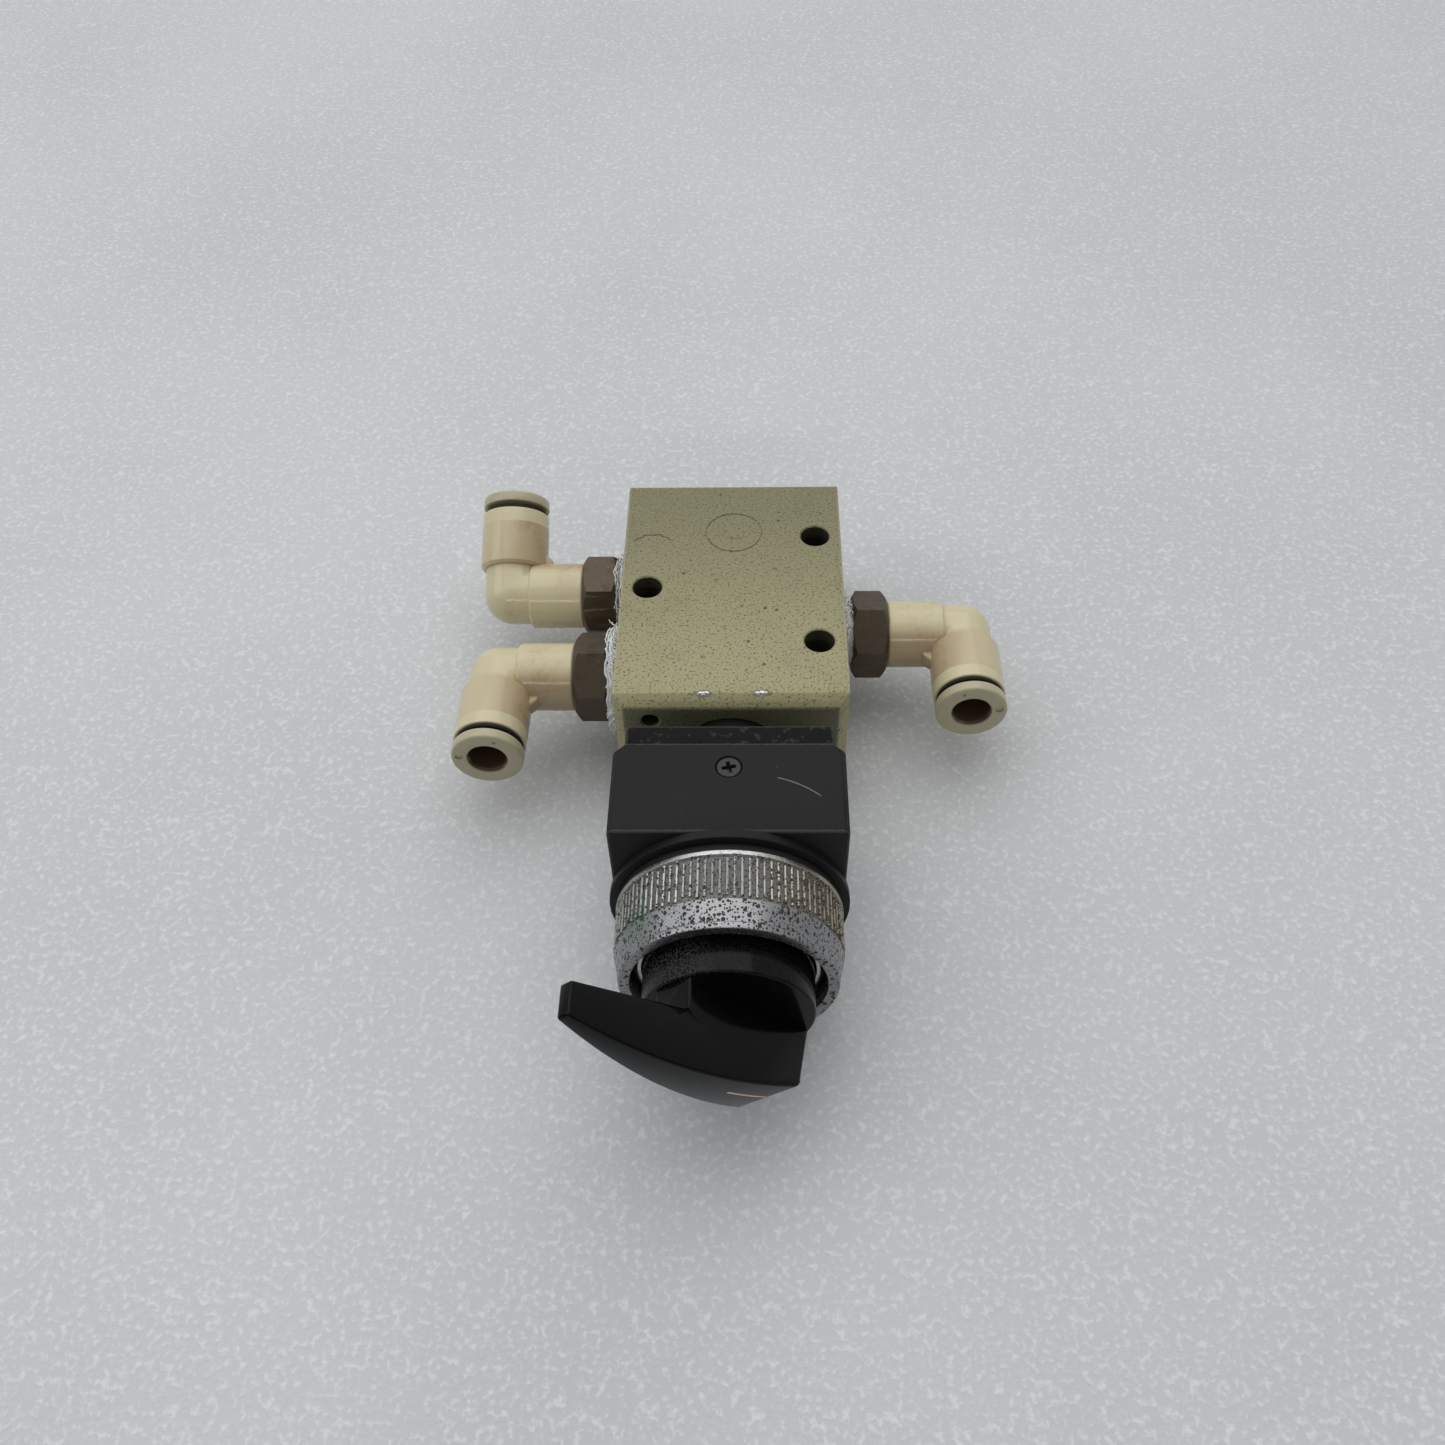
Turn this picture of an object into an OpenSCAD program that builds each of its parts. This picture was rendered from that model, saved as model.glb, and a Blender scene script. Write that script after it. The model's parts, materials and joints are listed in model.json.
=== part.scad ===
// Hand selector valve: a five-port spool valve block, a panel-mounting twist selector
// on its front, and three push-in elbow fittings in its side ports.
// Origin: centre of the block's underside. +Z is up, and -Y points to the knob.

/* [Block] */
// Width of the block, from one port face to the other
block_w = 40; // [40:1:44]
// Length of the block along the spool
block_l = 55; // [55:1:58]
// Height of the block
block_h = 25; // [24:1:28]
// Bevel around the block's front face
front_bevel = 2; // [1:0.5:3]

/* [Mounting holes] */
// Radius of the three through holes
hole_r = 2.6; // [2:0.1:2.8]
// Distance of each hole from the block's centre line
hole_x = 15.25; // [14.75:0.25:15.5]
// Distance of the two right-hand holes from the middle of the block
hole_y = 13.4; // [13:0.2:14]

/* [Ports and spool] */
// Spacing of the five ports along the spool
port_pitch = 10.5; // [10.4:0.1:10.6]
// Radius of the tapped ports that take fittings
thread_r = 4.86; // [4.5:0.02:4.9]
// Radius of the two small exhaust ports
exhaust_r = 2.5; // [2:0.1:2.6]
// Radius of the spool bore
spool_bore_r = 5; // [4.8:0.1:5.2]

/* [Fittings] */
// Width of the hexagons across their flats
hex_af = 14; // [13:1:15]
// Distance of an elbow's leg from the valve's centre plane
elbow_x = 42.3; // [42:0.1:44]
// Radius of the tube that the fittings take, with its clearance
tube_r = 3.15; // [3.05:0.05:3.2]
// Upward tilt of the rear left elbow's leg, in degrees
rear_leg_tilt = 28; // [0:1:40]

/* [Selector head] */
// Width and height of the square housing
head_w = 36.4; // [35:0.2:38]
// Width and height of the adapter plate behind it
adapter_w = 33.2; // [32:0.2:34]
// Radius of the flange in front of the housing
flange_r = 18.96; // [18.6:0.02:19.2]
// Radius of the thread that passes through a panel
panel_r = 15; // [15:0.1:15.2]
// Radius of the ring nut at its knurled rim
nut_r = 17.86; // [17.4:0.02:18.2]
// Radius of the ring nut at its front rim
nut_front_r = 16.76; // [16.4:0.02:17]

/* [Knob] */
// Radius of the knob's hub
hub_r = 13.1; // [12.9:0.05:13.1]
// Angle of the lever above the horizontal, at rest
lever_angle = 50; // [45:1:55]
// Distance of the lever's tip from the knob's axis
lever_reach = 32.4; // [28:0.2:34]
// Half thickness of the lever on the knob's axis
lever_half = 4.8; // [4:0.1:5]
// Half thickness of the lever at its tip
tip_half = 1.1; // [1:0.1:2]
// Radius of the lever's bowed front edge
bow_r = 91; // [85:1:110]

/* [Motion] */
// Travel of the spool over the knob's whole turn
spool_travel = 3.6; // [3.4:0.1:3.6]
// Turn of the knob between its two positions, in degrees
knob_turn = 90; // [80:1:90]

/* [Hidden] */
$fn = 64;

// Clearances: on a running fit, and between pieces that only pass each other
run_gap = 0.05;
pass_gap = 0.15;

// Block
axis_z = block_h / 2;
side_x = block_w / 2;
front_y = -block_l / 2;
rear_y = block_l / 2;
groove_r = spool_bore_r + 1.4;
groove_half = 1.75;
tap_depth = 8.5;
collar_r = 8;
collar_depth = 4;
plug_r = 7;
plug_depth = 3.3;
plug_l = 2;
mark_w = 0.4;
mark_depth = 0.2;

// Places along the valve's axis, from the block forwards
adapter_rear_y = front_y - 8.6;
housing_rear_y = adapter_rear_y - 4.9;
housing_front_y = housing_rear_y - 17;
flange_front_y = housing_front_y - 1.5;
gasket_front_y = flange_front_y - 1.4;
nut_front_y = gasket_front_y - 12.7;
hub_front_y = nut_front_y - 4.9;
overhang_y = hub_front_y - 5;
web_rear_y = housing_front_y + 3.5;
web_front_y = housing_front_y - 3;
bushing_front_y = housing_front_y - 12.5;

// Selector parts
housing_bore_r = 12.5;
shaft_r = 5;
cam_r = 7.8;
cam_front_y = web_rear_y + 1;
cam_mid_y = cam_front_y + 4;
nose_track_r = 5.5;
nose_r = 1.2;
cam_slope = atan(spool_travel / (2 * nose_track_r * sin(knob_turn / 2)));
nose_y = cam_mid_y - spool_travel / 2 + (nose_r + pass_gap) / cos(cam_slope);
disc_front_y = cam_mid_y + 3.9;
disc_l = 1.8;
disc_r = 7.9;
rod_r = 3;
spool_front_y = front_y + 4.9;
adapter_spigot_l = 7;
adapter_bore_y = housing_rear_y + 1;

// Spool: rear end of the valve's bore, and the lands as pairs of front and rear ends
land_r = spool_bore_r - run_gap;
lands = [[spool_front_y, -port_pitch * 2 + 1.6], [-4.3, 0.7],
         [port_pitch * 1.5 + 0.05, port_pitch * 2 - 2]];
land_seals = [-port_pitch * 2, -3.3, -0.3, port_pitch * 2 - 3.6];

// Knob: the lever's front edge is an arc, whose crest is beyond the middle
bow_u = 19.5;
bow_y = overhang_y - 9.25;
lever_taper = (lever_half - tip_half) / lever_reach;
short_end = 12;
tip_back_y = overhang_y - 3.3;

// Fittings, in a port's own frame: x runs outwards and y along the elbow's leg
ports = [[1, 0, 180, 40], [-1, port_pitch, rear_leg_tilt, 10], [-1, -port_pitch, 180, 40]];
hex_x = side_x + 2;
hex_l = 6.3;
arm_x = hex_x + hex_l;
neck_r = 4;
neck_l = 7.1;
arm_r = 6.15;
bend_r = 5.4;
leg_r = 6.4;
leg_start = 4.9;
pocket_r = 4.7;
body_end = 15.9;
ring_end = 16.5;
flange_start = 17.25;
leg_end = 19.25;

// ---------- helpers ----------

// Puts a shape on the valve's axis at y, with its own z running along +Y
module on_axis(y) {
    translate([0, y, axis_z]) rotate([-90, 0, 0]) children();
}

module ring(r_out, r_in, l) {
    difference() {
        cylinder(r = r_out, h = l);
        translate([0, 0, -1]) cylinder(r = r_in, h = l + 2);
    }
}

module o_ring(r_mid, r_cord) {
    rotate_extrude() translate([r_mid, 0]) circle(r = r_cord, $fn = 20);
}

// Puts a shape in the knob's frame: x along the lever, y forwards of the block is negative
module in_knob() {
    translate([0, 0, axis_z]) rotate([0, 180 + lever_angle, 0]) children();
}

// Puts a shape in the frame of port i, without and with its elbow's own turn
module at_port(i, turn = 0) {
    mirror([ports[i][0] < 0 ? 1 : 0, 0, 0])
        translate([0, ports[i][1], axis_z]) rotate([turn, 0, 0]) children();
}

module on_elbow(i) {
    at_port(i, ports[i][2]) children();
}

// In a port's frame: a round shape that starts at x and runs outwards
module outwards(x) {
    translate([x, 0, 0]) rotate([0, 90, 0]) children();
}

// In a port's frame: a round shape that starts at y and runs along the leg
module along_leg(y) {
    translate([elbow_x, y, 0]) rotate([-90, 0, 0]) children();
}

// ---------- block and spool ----------

module block_body() {
    top = [[-side_x, rear_y], [-side_x, front_y + front_bevel], [-side_x + front_bevel, front_y],
           [side_x - front_bevel, front_y], [side_x, front_y + front_bevel], [side_x, rear_y]];
    side = [[rear_y, 0], [front_y + front_bevel, 0], [front_y, front_bevel],
            [front_y, block_h - front_bevel], [front_y + front_bevel, block_h], [rear_y, block_h]];
    intersection() {
        linear_extrude(block_h) polygon(top);
        translate([-side_x, 0, 0]) rotate([90, 0, 90]) linear_extrude(block_w) polygon(side);
    }
}

module port_hole(i) {
    at_port(i) {
        outwards(0) cylinder(r = 2.4, h = side_x);
        outwards(side_x - tap_depth) cylinder(r = thread_r, h = tap_depth + 1);
    }
}

module exhaust_hole(y) {
    translate([0, y, axis_z]) rotate([0, 90, 0]) {
        cylinder(r = 1.8, h = side_x);
        translate([0, 0, side_x - 7]) cylinder(r = exhaust_r, h = 8);
    }
}

// Marks sunk in the top face: a thin ring, and a flat arch beside it
module top_marks() {
    translate([0.2, 14.4, block_h - mark_depth]) {
        ring(5.35, 5.05, 1);
        translate([-18.2, -1, 0]) cube([6.4, mark_w, 1]);
        for (x = [-18.2, -18.2 + 6.4 - mark_w]) translate([x, -2.1, 0]) cube([mark_w, 1.3, 1]);
    }
}

module valve_block() {
    color([0.61, 0.59, 0.46]) difference() {
        block_body();
        on_axis(front_y - 1) cylinder(r = spool_bore_r, h = block_l + 2);
        on_axis(front_y - 1) cylinder(r = collar_r, h = collar_depth + 1);
        on_axis(rear_y - plug_depth) cylinder(r = plug_r, h = plug_depth + 1);
        on_axis(rear_y - 1.3) cylinder(r = plug_r + 0.6, h = 1);
        for (k = [-2:2])
            on_axis(k * port_pitch - groove_half) cylinder(r = groove_r, h = 2 * groove_half);
        for (i = [0:2]) port_hole(i);
        for (s = [-1, 1]) exhaust_hole(s * 2 * port_pitch);
        for (p = [[hole_x, hole_y], [hole_x, -hole_y], [-hole_x, 0]])
            translate([p[0], p[1], -1]) cylinder(r = hole_r, h = block_h + 2);
        for (s = [-1, 1])
            translate([s * 13.7, front_y - 1, axis_z - s * 7.5]) rotate([-90, 0, 0])
                cylinder(r = 1.45, h = 6);
        top_marks();
    }
}

module rear_plug() {
    color("dimgray") difference() {
        on_axis(rear_y - plug_depth) cylinder(r = plug_r, h = plug_l);
        on_axis(rear_y - plug_depth - 1) cylinder(r = 3.3, h = 2.2);
        on_axis(rear_y - plug_depth + 0.3) ring(plug_r + 1, 5.9, 1.1);
    }
}

module rear_plug_seal() {
    color("black") on_axis(rear_y - plug_depth + 0.85) o_ring(6.44, 0.54);
}

module rear_clip() {
    color("silver") difference() {
        on_axis(rear_y - 1.25) ring(plug_r + 0.55, 5.6, 0.9);
        translate([-1.5, rear_y - 2, 0]) cube([3, 3, axis_z]);
    }
}

// A compression spring's wire, swept as a closed tube with flat ends
module coil(r, wire_r, l, turns) {
    steps = 18 * turns;
    sides = 8;
    pts = [for (i = [0:steps], j = [0:sides - 1])
        let (a = 360 * turns * i / steps, b = 360 * j / sides, q = r + wire_r * cos(b))
        [q * cos(a), q * sin(a), l * i / steps + wire_r * sin(b)]];
    wall = [for (i = [0:steps - 1], j = [0:sides - 1])
        let (k = (j + 1) % sides)
        [i * sides + j, (i + 1) * sides + j, (i + 1) * sides + k, i * sides + k]];
    ends = [[for (j = [0:sides - 1]) j], [for (j = [0:sides - 1]) steps * sides + sides - 1 - j]];
    polyhedron(pts, concat(wall, ends));
}

module return_spring() {
    color("silver") on_axis(lands[2][1] + 0.35) coil(2.55, 0.3, 5.65, 4);
}

module spool() {
    color("gainsboro") difference() {
        union() {
            on_axis(spool_front_y) cylinder(r = 2.6, h = lands[2][1] - spool_front_y);
            for (s = lands) on_axis(s[0]) cylinder(r = land_r, h = s[1] - s[0]);
            on_axis(lands[2][1]) cylinder(r = 1.8, h = 1.5);
        }
        for (y = land_seals) on_axis(y - 0.5) ring(spool_bore_r + 1, land_r - 0.75, 1);
    }
}

module spool_seals() {
    color("black") for (y = land_seals) on_axis(y) o_ring(land_r - 0.37, 0.37);
}

// ---------- guide collar and follower ----------

module guide_collar() {
    color([0.1, 0.1, 0.1]) difference() {
        on_axis(adapter_bore_y) cylinder(r = collar_r, h = front_y + collar_depth - adapter_bore_y);
        on_axis(adapter_bore_y - 1) cylinder(r = rod_r + run_gap, h = 30);
        on_axis(front_y - 4.2) cylinder(r = 4.4, h = 1.4);
    }
}

module follower_seal() {
    color("black") on_axis(front_y - 3.5) o_ring(3.72, 0.64);
}

// The pushrod that the cam drives: a disc with an offset nose, a key and a long rod
module cam_follower() {
    color("silver") {
        on_axis(disc_front_y) cylinder(r = disc_r, h = disc_l);
        on_axis(disc_front_y) cylinder(r = rod_r, h = spool_front_y - disc_front_y);
        translate([-0.9, disc_front_y, axis_z - 9.1]) cube([1.8, disc_l, 3]);
        translate([0, 0, nose_track_r]) {
            on_axis(nose_y) cylinder(r = nose_r, h = disc_front_y - nose_y + 0.5, $fn = 24);
            on_axis(nose_y) sphere(r = nose_r, $fn = 24);
        }
    }
}

// ---------- selector head ----------

module square_bar(w, y0, l) {
    translate([-w / 2, y0, axis_z - w / 2]) cube([w, l, w]);
}

module screw_hole(r) {
    translate([0, housing_rear_y - 4.7, axis_z + 9.4]) cylinder(r = r, h = 12);
}

module head_adapter() {
    color([0.12, 0.12, 0.13]) difference() {
        union() {
            square_bar(adapter_w, housing_rear_y, adapter_rear_y - housing_rear_y);
            on_axis(housing_rear_y - adapter_spigot_l)
                cylinder(r = housing_bore_r, h = adapter_spigot_l + 0.5);
        }
        on_axis(adapter_bore_y - 1) cylinder(r = collar_r, h = 10);
        on_axis(housing_rear_y - adapter_spigot_l - 1)
            cylinder(r = disc_r + 0.3, h = adapter_bore_y - housing_rear_y + adapter_spigot_l + 1);
        translate([-1.05, housing_rear_y - adapter_spigot_l - 1, axis_z - 9.3])
            cube([2.1, adapter_spigot_l + 2, 9]);
        screw_hole(1.5);
    }
}

// A square's outline with its four corners cut off by c
module cut_square(w, c) {
    h = w / 2;
    polygon([[h, c - h], [h, h - c], [h - c, h], [c - h, h],
             [-h, h - c], [-h, c - h], [c - h, -h], [h - c, -h]]);
}

module head_housing() {
    half = head_w / 2;
    outline = [[-half, housing_front_y], [half, housing_front_y], [half, housing_rear_y - 1.4],
               [half - 1.5, housing_rear_y], [-half + 1.5, housing_rear_y],
               [-half, housing_rear_y - 1.4]];
    color([0.13, 0.13, 0.14]) difference() {
        intersection() {
            translate([0, 0, axis_z - half]) linear_extrude(head_w) polygon(outline);
            on_axis(housing_front_y) linear_extrude(20) cut_square(head_w, 0.6);
        }
        on_axis(housing_front_y - 1) cylinder(r = housing_bore_r, h = 20);
        screw_hole(1.5);
        translate([0, housing_rear_y - 4.7, axis_z + half - 1.5])
            cylinder(r1 = 1.5, r2 = 2.6, h = 1.55);
    }
}

module head_screw() {
    top = axis_z + head_w / 2 - 0.1;
    color("silver") difference() {
        translate([0, housing_rear_y - 4.7, 0]) {
            translate([0, 0, axis_z + 9.4]) cylinder(r = 1.5, h = top - axis_z - 9.6);
            translate([0, 0, top - 1.4]) cylinder(r1 = 1.5, r2 = 2.45, h = 1.4);
        }
        for (a = [45, 135])
            translate([0, housing_rear_y - 4.7, top]) rotate([0, 0, a])
                cube([0.6, 2.8, 1.6], center = true);
    }
}

// The selector's fixed body: flange, panel thread, and the web that carries the shaft
module panel_bushing() {
    color([0.1, 0.1, 0.1]) difference() {
        union() {
            on_axis(housing_front_y) cylinder(r = housing_bore_r, h = web_rear_y - housing_front_y);
            on_axis(flange_front_y) cylinder(r = flange_r, h = housing_front_y - flange_front_y);
            on_axis(bushing_front_y) cylinder(r = panel_r, h = flange_front_y - bushing_front_y);
        }
        on_axis(bushing_front_y - 1) cylinder(r = hub_r + 1, h = web_front_y - bushing_front_y + 1);
        on_axis(web_front_y - 1) cylinder(r = shaft_r + run_gap, h = 10);
    }
}

module bezel_sleeve() {
    color("silver") on_axis(bushing_front_y - 0.7)
        ring(hub_r + 1, hub_r + run_gap, web_front_y - bushing_front_y + 0.7);
}

module panel_gasket() {
    color([0.08, 0.08, 0.08]) on_axis(gasket_front_y)
        ring(nut_r - 0.3, panel_r, flange_front_y - gasket_front_y);
}

module ring_nut() {
    l = gasket_front_y - nut_front_y;
    band = 4.6;
    color("lightgray") on_axis(nut_front_y) difference() {
        union() {
            cylinder(r1 = nut_front_r, r2 = nut_r - 0.2, h = band);
            translate([0, 0, band]) cylinder(r = nut_r, h = l - band);
        }
        translate([0, 0, -1]) cylinder(r = panel_r, h = l + 2);
    }
}

// A split spring ring whose nose drops into the cam's two notches
module detent_spring() {
    color("silver") {
        difference() {
            on_axis(cam_front_y) ring(housing_bore_r, housing_bore_r - 0.6, 3);
            translate([-14, cam_front_y - 1, axis_z - 3]) cube([5, 5, 6]);
        }
        translate([9, cam_front_y, axis_z - 0.4]) cube([3.2, 3, 0.8]);
        translate([9.25, 0, 0]) on_axis(cam_front_y) cylinder(r = 1.2, h = 3);
    }
}

// ---------- knob ----------

// The lever's side view: its bowed front edge, its overhang and its short end
module lever_side() {
    intersection() {
        translate([bow_u, bow_y + bow_r]) circle(r = bow_r, $fn = 360);
        polygon([[-short_end, hub_front_y + 1], [hub_r - 0.9, hub_front_y + 1],
                 [hub_r - 0.9, overhang_y], [lever_reach, tip_back_y], [lever_reach, bow_y - 1],
                 [3.7 - short_end, bow_y - 1], [3.7 - short_end, bow_y + 3.9],
                 [1.6 - short_end, bow_y + 6.2]]);
    }
}

// The lever seen from the front: thick at the short end and thin at the tip
module lever_front() {
    tail = lever_half + lever_taper * short_end;
    polygon([[lever_reach, tip_half], [-short_end, tail], [-short_end, -tail], [lever_reach, -tip_half]]);
}

module lever_solid() {
    intersection() {
        translate([0, 0, -8]) linear_extrude(16) lever_side();
        rotate([90, 0, 0]) linear_extrude(-bow_y + 2) lever_front();
        union() {
            translate([0, hub_front_y + 1, 0]) rotate([90, 0, 0])
                cylinder(r1 = hub_r, r2 = hub_r - 3.2, h = 16);
            translate([0, bow_y - 1, -8]) cube([40, 20, 16]);
        }
    }
}

// The thin inlay that marks the knob's setting, along the middle of the front edge
module inlay_cut() {
    translate([0, 0, -0.28]) linear_extrude(0.56) intersection() {
        translate([bow_u, bow_y + bow_r]) difference() {
            circle(r = bow_r, $fn = 360);
            circle(r = bow_r - 0.5, $fn = 360);
        }
        translate([-8.6, bow_y]) square([8.6, 8]);
    }
}

module knob_lever() {
    color([0.06, 0.06, 0.07]) difference() {
        union() {
            on_axis(hub_front_y) cylinder(r = hub_r, h = web_front_y - 0.2 - hub_front_y);
            in_knob() lever_solid();
        }
        on_axis(web_front_y - 9) cylinder(r = shaft_r, h = 10);
        on_axis(web_front_y - 3) ring(hub_r + 1, hub_r - 0.95, 1.1);
        in_knob() inlay_cut();
    }
}

module pointer_inlay() {
    color([0.85, 0.72, 0.6]) in_knob() inlay_cut();
}

module knob_seal() {
    color("black") on_axis(web_front_y - 2.45) o_ring(hub_r - 0.47, 0.46);
}

module knob_shaft() {
    color("silver") difference() {
        union() {
            on_axis(web_front_y - 9) cylinder(r = shaft_r, h = cam_front_y - web_front_y + 9);
            translate([-2.5, cam_front_y, axis_z - 2.5]) cube([5, 2, 5]);
        }
        on_axis(web_rear_y + 0.1) ring(shaft_r + 1, shaft_r - 0.8, 0.8);
    }
}

module shaft_clip() {
    color("silver") difference() {
        on_axis(web_rear_y + 0.1) ring(7, shaft_r - 0.8, 0.8);
        translate([-1, web_rear_y - 1, 0]) cube([2, 3, axis_z]);
    }
}

// The cam's rear face is a slanting plane, lowest under the nose at rest
module selector_cam() {
    color("silver") difference() {
        on_axis(cam_front_y) cylinder(r = cam_r, h = 9);
        translate([0, cam_mid_y, axis_z]) rotate([0, knob_turn / 2, 0]) rotate([cam_slope, 0, 0])
            translate([-20, 0, -20]) cube([40, 20, 40]);
        translate([-2.5, cam_front_y - 1, axis_z - 2.5]) cube([5, 3, 5]);
        for (a = [0, 90]) translate([0, 0, axis_z]) rotate([0, -a, 0])
            translate([cam_r + 0.9, cam_front_y - 1, 0]) rotate([-90, 0, 0]) cylinder(r = 1.3, h = 12);
    }
}

// ---------- fittings ----------

module stud(i) {
    color([0.24, 0.2, 0.16]) at_port(i) difference() {
        union() {
            outwards(side_x - tap_depth + 0.5) cylinder(r = thread_r, h = hex_x - side_x + tap_depth);
            rotate([ports[i][3], 0, 0]) outwards(hex_x)
                rotate([0, 0, 90]) cylinder(r = hex_af / sqrt(3), h = hex_l, $fn = 6);
            outwards(arm_x - 0.5) cylinder(r = neck_r, h = neck_l + 0.5);
        }
        outwards(side_x - tap_depth - 1) cylinder(r = 2.3, h = 40);
        outwards(arm_x + 2.7) ring(neck_r + 1, neck_r - 0.8, 1.2);
    }
}

module tape(i) {
    color("whitesmoke") at_port(i) outwards(side_x) ring(thread_r + 0.7, thread_r, hex_x - side_x);
}

module swivel_seal(i) {
    color("black") at_port(i) outwards(arm_x + 3.3) o_ring(neck_r - 0.38, 0.4);
}

module elbow(i) {
    color([0.75, 0.71, 0.6]) on_elbow(i) difference() {
        union() {
            outwards(arm_x + 0.1) cylinder(r = arm_r, h = 10.2);
            outwards(arm_x + 10) cylinder(r = bend_r, h = elbow_x - arm_x - 10);
            translate([elbow_x, 0, 0]) sphere(r = bend_r);
            along_leg(0) cylinder(r = bend_r, h = leg_start + 0.5);
            along_leg(leg_start) cylinder(r = leg_r, h = body_end - leg_start);
            translate([0, 0, -1.5]) linear_extrude(3)
                polygon([[elbow_x - 9, 0], [elbow_x, 0], [elbow_x, 8], [elbow_x - 6, 8]]);
        }
        outwards(arm_x - 1) cylinder(r = neck_r + run_gap, h = neck_l + 1.5);
        outwards(arm_x) cylinder(r = 2.4, h = elbow_x - arm_x);
        translate([elbow_x, 0, 0]) sphere(r = 2.4);
        along_leg(0) cylinder(r = 2.4, h = 6);
        along_leg(3) cylinder(r = tube_r, h = 6);
        along_leg(6.4) cylinder(r = pocket_r, h = 12);
    }
}

module tube_seal(i) {
    color("black") on_elbow(i) along_leg(6.6) ring(pocket_r, tube_r, 2);
}

module chuck(i) {
    color("silver") on_elbow(i) along_leg(9) ring(pocket_r - 0.1, tube_r + 0.05, 2.4);
}

module guide_ring(i) {
    color([0.1, 0.1, 0.1]) on_elbow(i) {
        along_leg(11.6) ring(pocket_r, 4.2, body_end - 11.6 + 0.1);
        along_leg(body_end) ring(leg_r - 0.4, 4.2, ring_end - body_end);
    }
}

module release_sleeve(i) {
    color([0.77, 0.73, 0.62]) on_elbow(i) {
        along_leg(12.2) ring(4.1, tube_r, flange_start - 12.1);
        along_leg(flange_start) ring(leg_r - 0.1, tube_r, leg_end - flange_start);
    }
}

valve_block();
rear_plug();
rear_plug_seal();
rear_clip();
return_spring();
spool();
spool_seals();
cam_follower();
guide_collar();
follower_seal();
head_adapter();
head_housing();
head_screw();
panel_bushing();
bezel_sleeve();
panel_gasket();
ring_nut();
detent_spring();
knob_lever();
pointer_inlay();
knob_shaft();
knob_seal();
shaft_clip();
selector_cam();
stud(0);  // stud_supply
stud(1);  // stud_rear
stud(2);  // stud_front
tape(0);  // tape_supply
tape(1);  // tape_rear
tape(2);  // tape_front
swivel_seal(0);  // swivel_seal_supply
swivel_seal(1);  // swivel_seal_rear
swivel_seal(2);  // swivel_seal_front
elbow(0);  // elbow_supply
elbow(1);  // elbow_rear
elbow(2);  // elbow_front
tube_seal(0);  // tube_seal_supply
tube_seal(1);  // tube_seal_rear
tube_seal(2);  // tube_seal_front
chuck(0);  // chuck_supply
chuck(1);  // chuck_rear
chuck(2);  // chuck_front
guide_ring(0);  // guide_ring_supply
guide_ring(1);  // guide_ring_rear
guide_ring(2);  // guide_ring_front
release_sleeve(0);  // release_supply
release_sleeve(1);  // release_rear
release_sleeve(2);  // release_front
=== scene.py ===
# %% [markdown]
# A hand selector valve, dressed for a close look. The CAD model already says what every piece is,
# how big it is and how it moves. This lesson makes the surfaces that a person sees: rounded edges,
# a worn knurl, torn sealing tape, and finishes that look moulded, plated, painted and handled.

# %% Load the fixed frame
import json
from math import atan2, cos, pi, radians, sin, sqrt, tan

import bmesh
import bpy
from mathutils import Matrix, Vector

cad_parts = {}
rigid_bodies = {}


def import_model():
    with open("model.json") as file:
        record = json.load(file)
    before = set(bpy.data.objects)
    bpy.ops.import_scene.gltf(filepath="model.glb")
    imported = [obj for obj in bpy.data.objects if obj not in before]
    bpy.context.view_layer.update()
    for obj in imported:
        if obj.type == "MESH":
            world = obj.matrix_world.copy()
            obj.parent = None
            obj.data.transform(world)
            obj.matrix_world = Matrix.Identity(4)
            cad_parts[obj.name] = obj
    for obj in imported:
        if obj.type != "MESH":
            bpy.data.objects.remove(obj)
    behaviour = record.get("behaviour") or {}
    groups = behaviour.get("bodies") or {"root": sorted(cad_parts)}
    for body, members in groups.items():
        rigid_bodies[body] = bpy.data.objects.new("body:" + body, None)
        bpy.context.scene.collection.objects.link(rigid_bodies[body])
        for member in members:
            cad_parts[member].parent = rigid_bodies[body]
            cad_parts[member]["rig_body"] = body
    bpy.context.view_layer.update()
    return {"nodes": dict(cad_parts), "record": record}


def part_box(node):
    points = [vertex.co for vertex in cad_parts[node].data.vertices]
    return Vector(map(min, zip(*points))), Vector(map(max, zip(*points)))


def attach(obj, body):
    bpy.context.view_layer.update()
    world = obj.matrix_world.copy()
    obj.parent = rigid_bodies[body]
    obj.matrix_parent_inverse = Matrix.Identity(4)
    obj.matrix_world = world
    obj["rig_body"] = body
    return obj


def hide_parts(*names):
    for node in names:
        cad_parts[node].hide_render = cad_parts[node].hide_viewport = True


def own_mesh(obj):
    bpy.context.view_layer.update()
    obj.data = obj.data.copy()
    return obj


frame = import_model()
nodes = frame["nodes"]

# %% [markdown]
# Every size comes from the frame, so the looks can't drift away from the model. A box gives each
# node's lowest and highest corner. The valve's long axis runs through the ring nut's middle.

# %% Places taken from the frame
MM = 0.001
block_lo, block_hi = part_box("valve_block")
nut_lo, nut_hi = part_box("ring_nut")
housing_lo, housing_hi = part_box("head_housing")
adapter_lo, adapter_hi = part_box("head_adapter")
bushing_lo, bushing_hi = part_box("panel_bushing")
gasket_lo, gasket_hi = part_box("panel_gasket")
sleeve_lo, sleeve_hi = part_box("bezel_sleeve")
collar_lo, collar_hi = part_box("guide_collar")
release_lo, release_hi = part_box("release_supply")
ELBOW_X = (release_lo.x + release_hi.x) / 2
axis_z = (nut_lo.z + nut_hi.z) / 2
AXIS = Matrix.Translation((0, 0, axis_z)) @ Matrix.Rotation(radians(-90), 4, "X")
print("axis height, mm:", round(axis_z / MM, 2))

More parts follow.
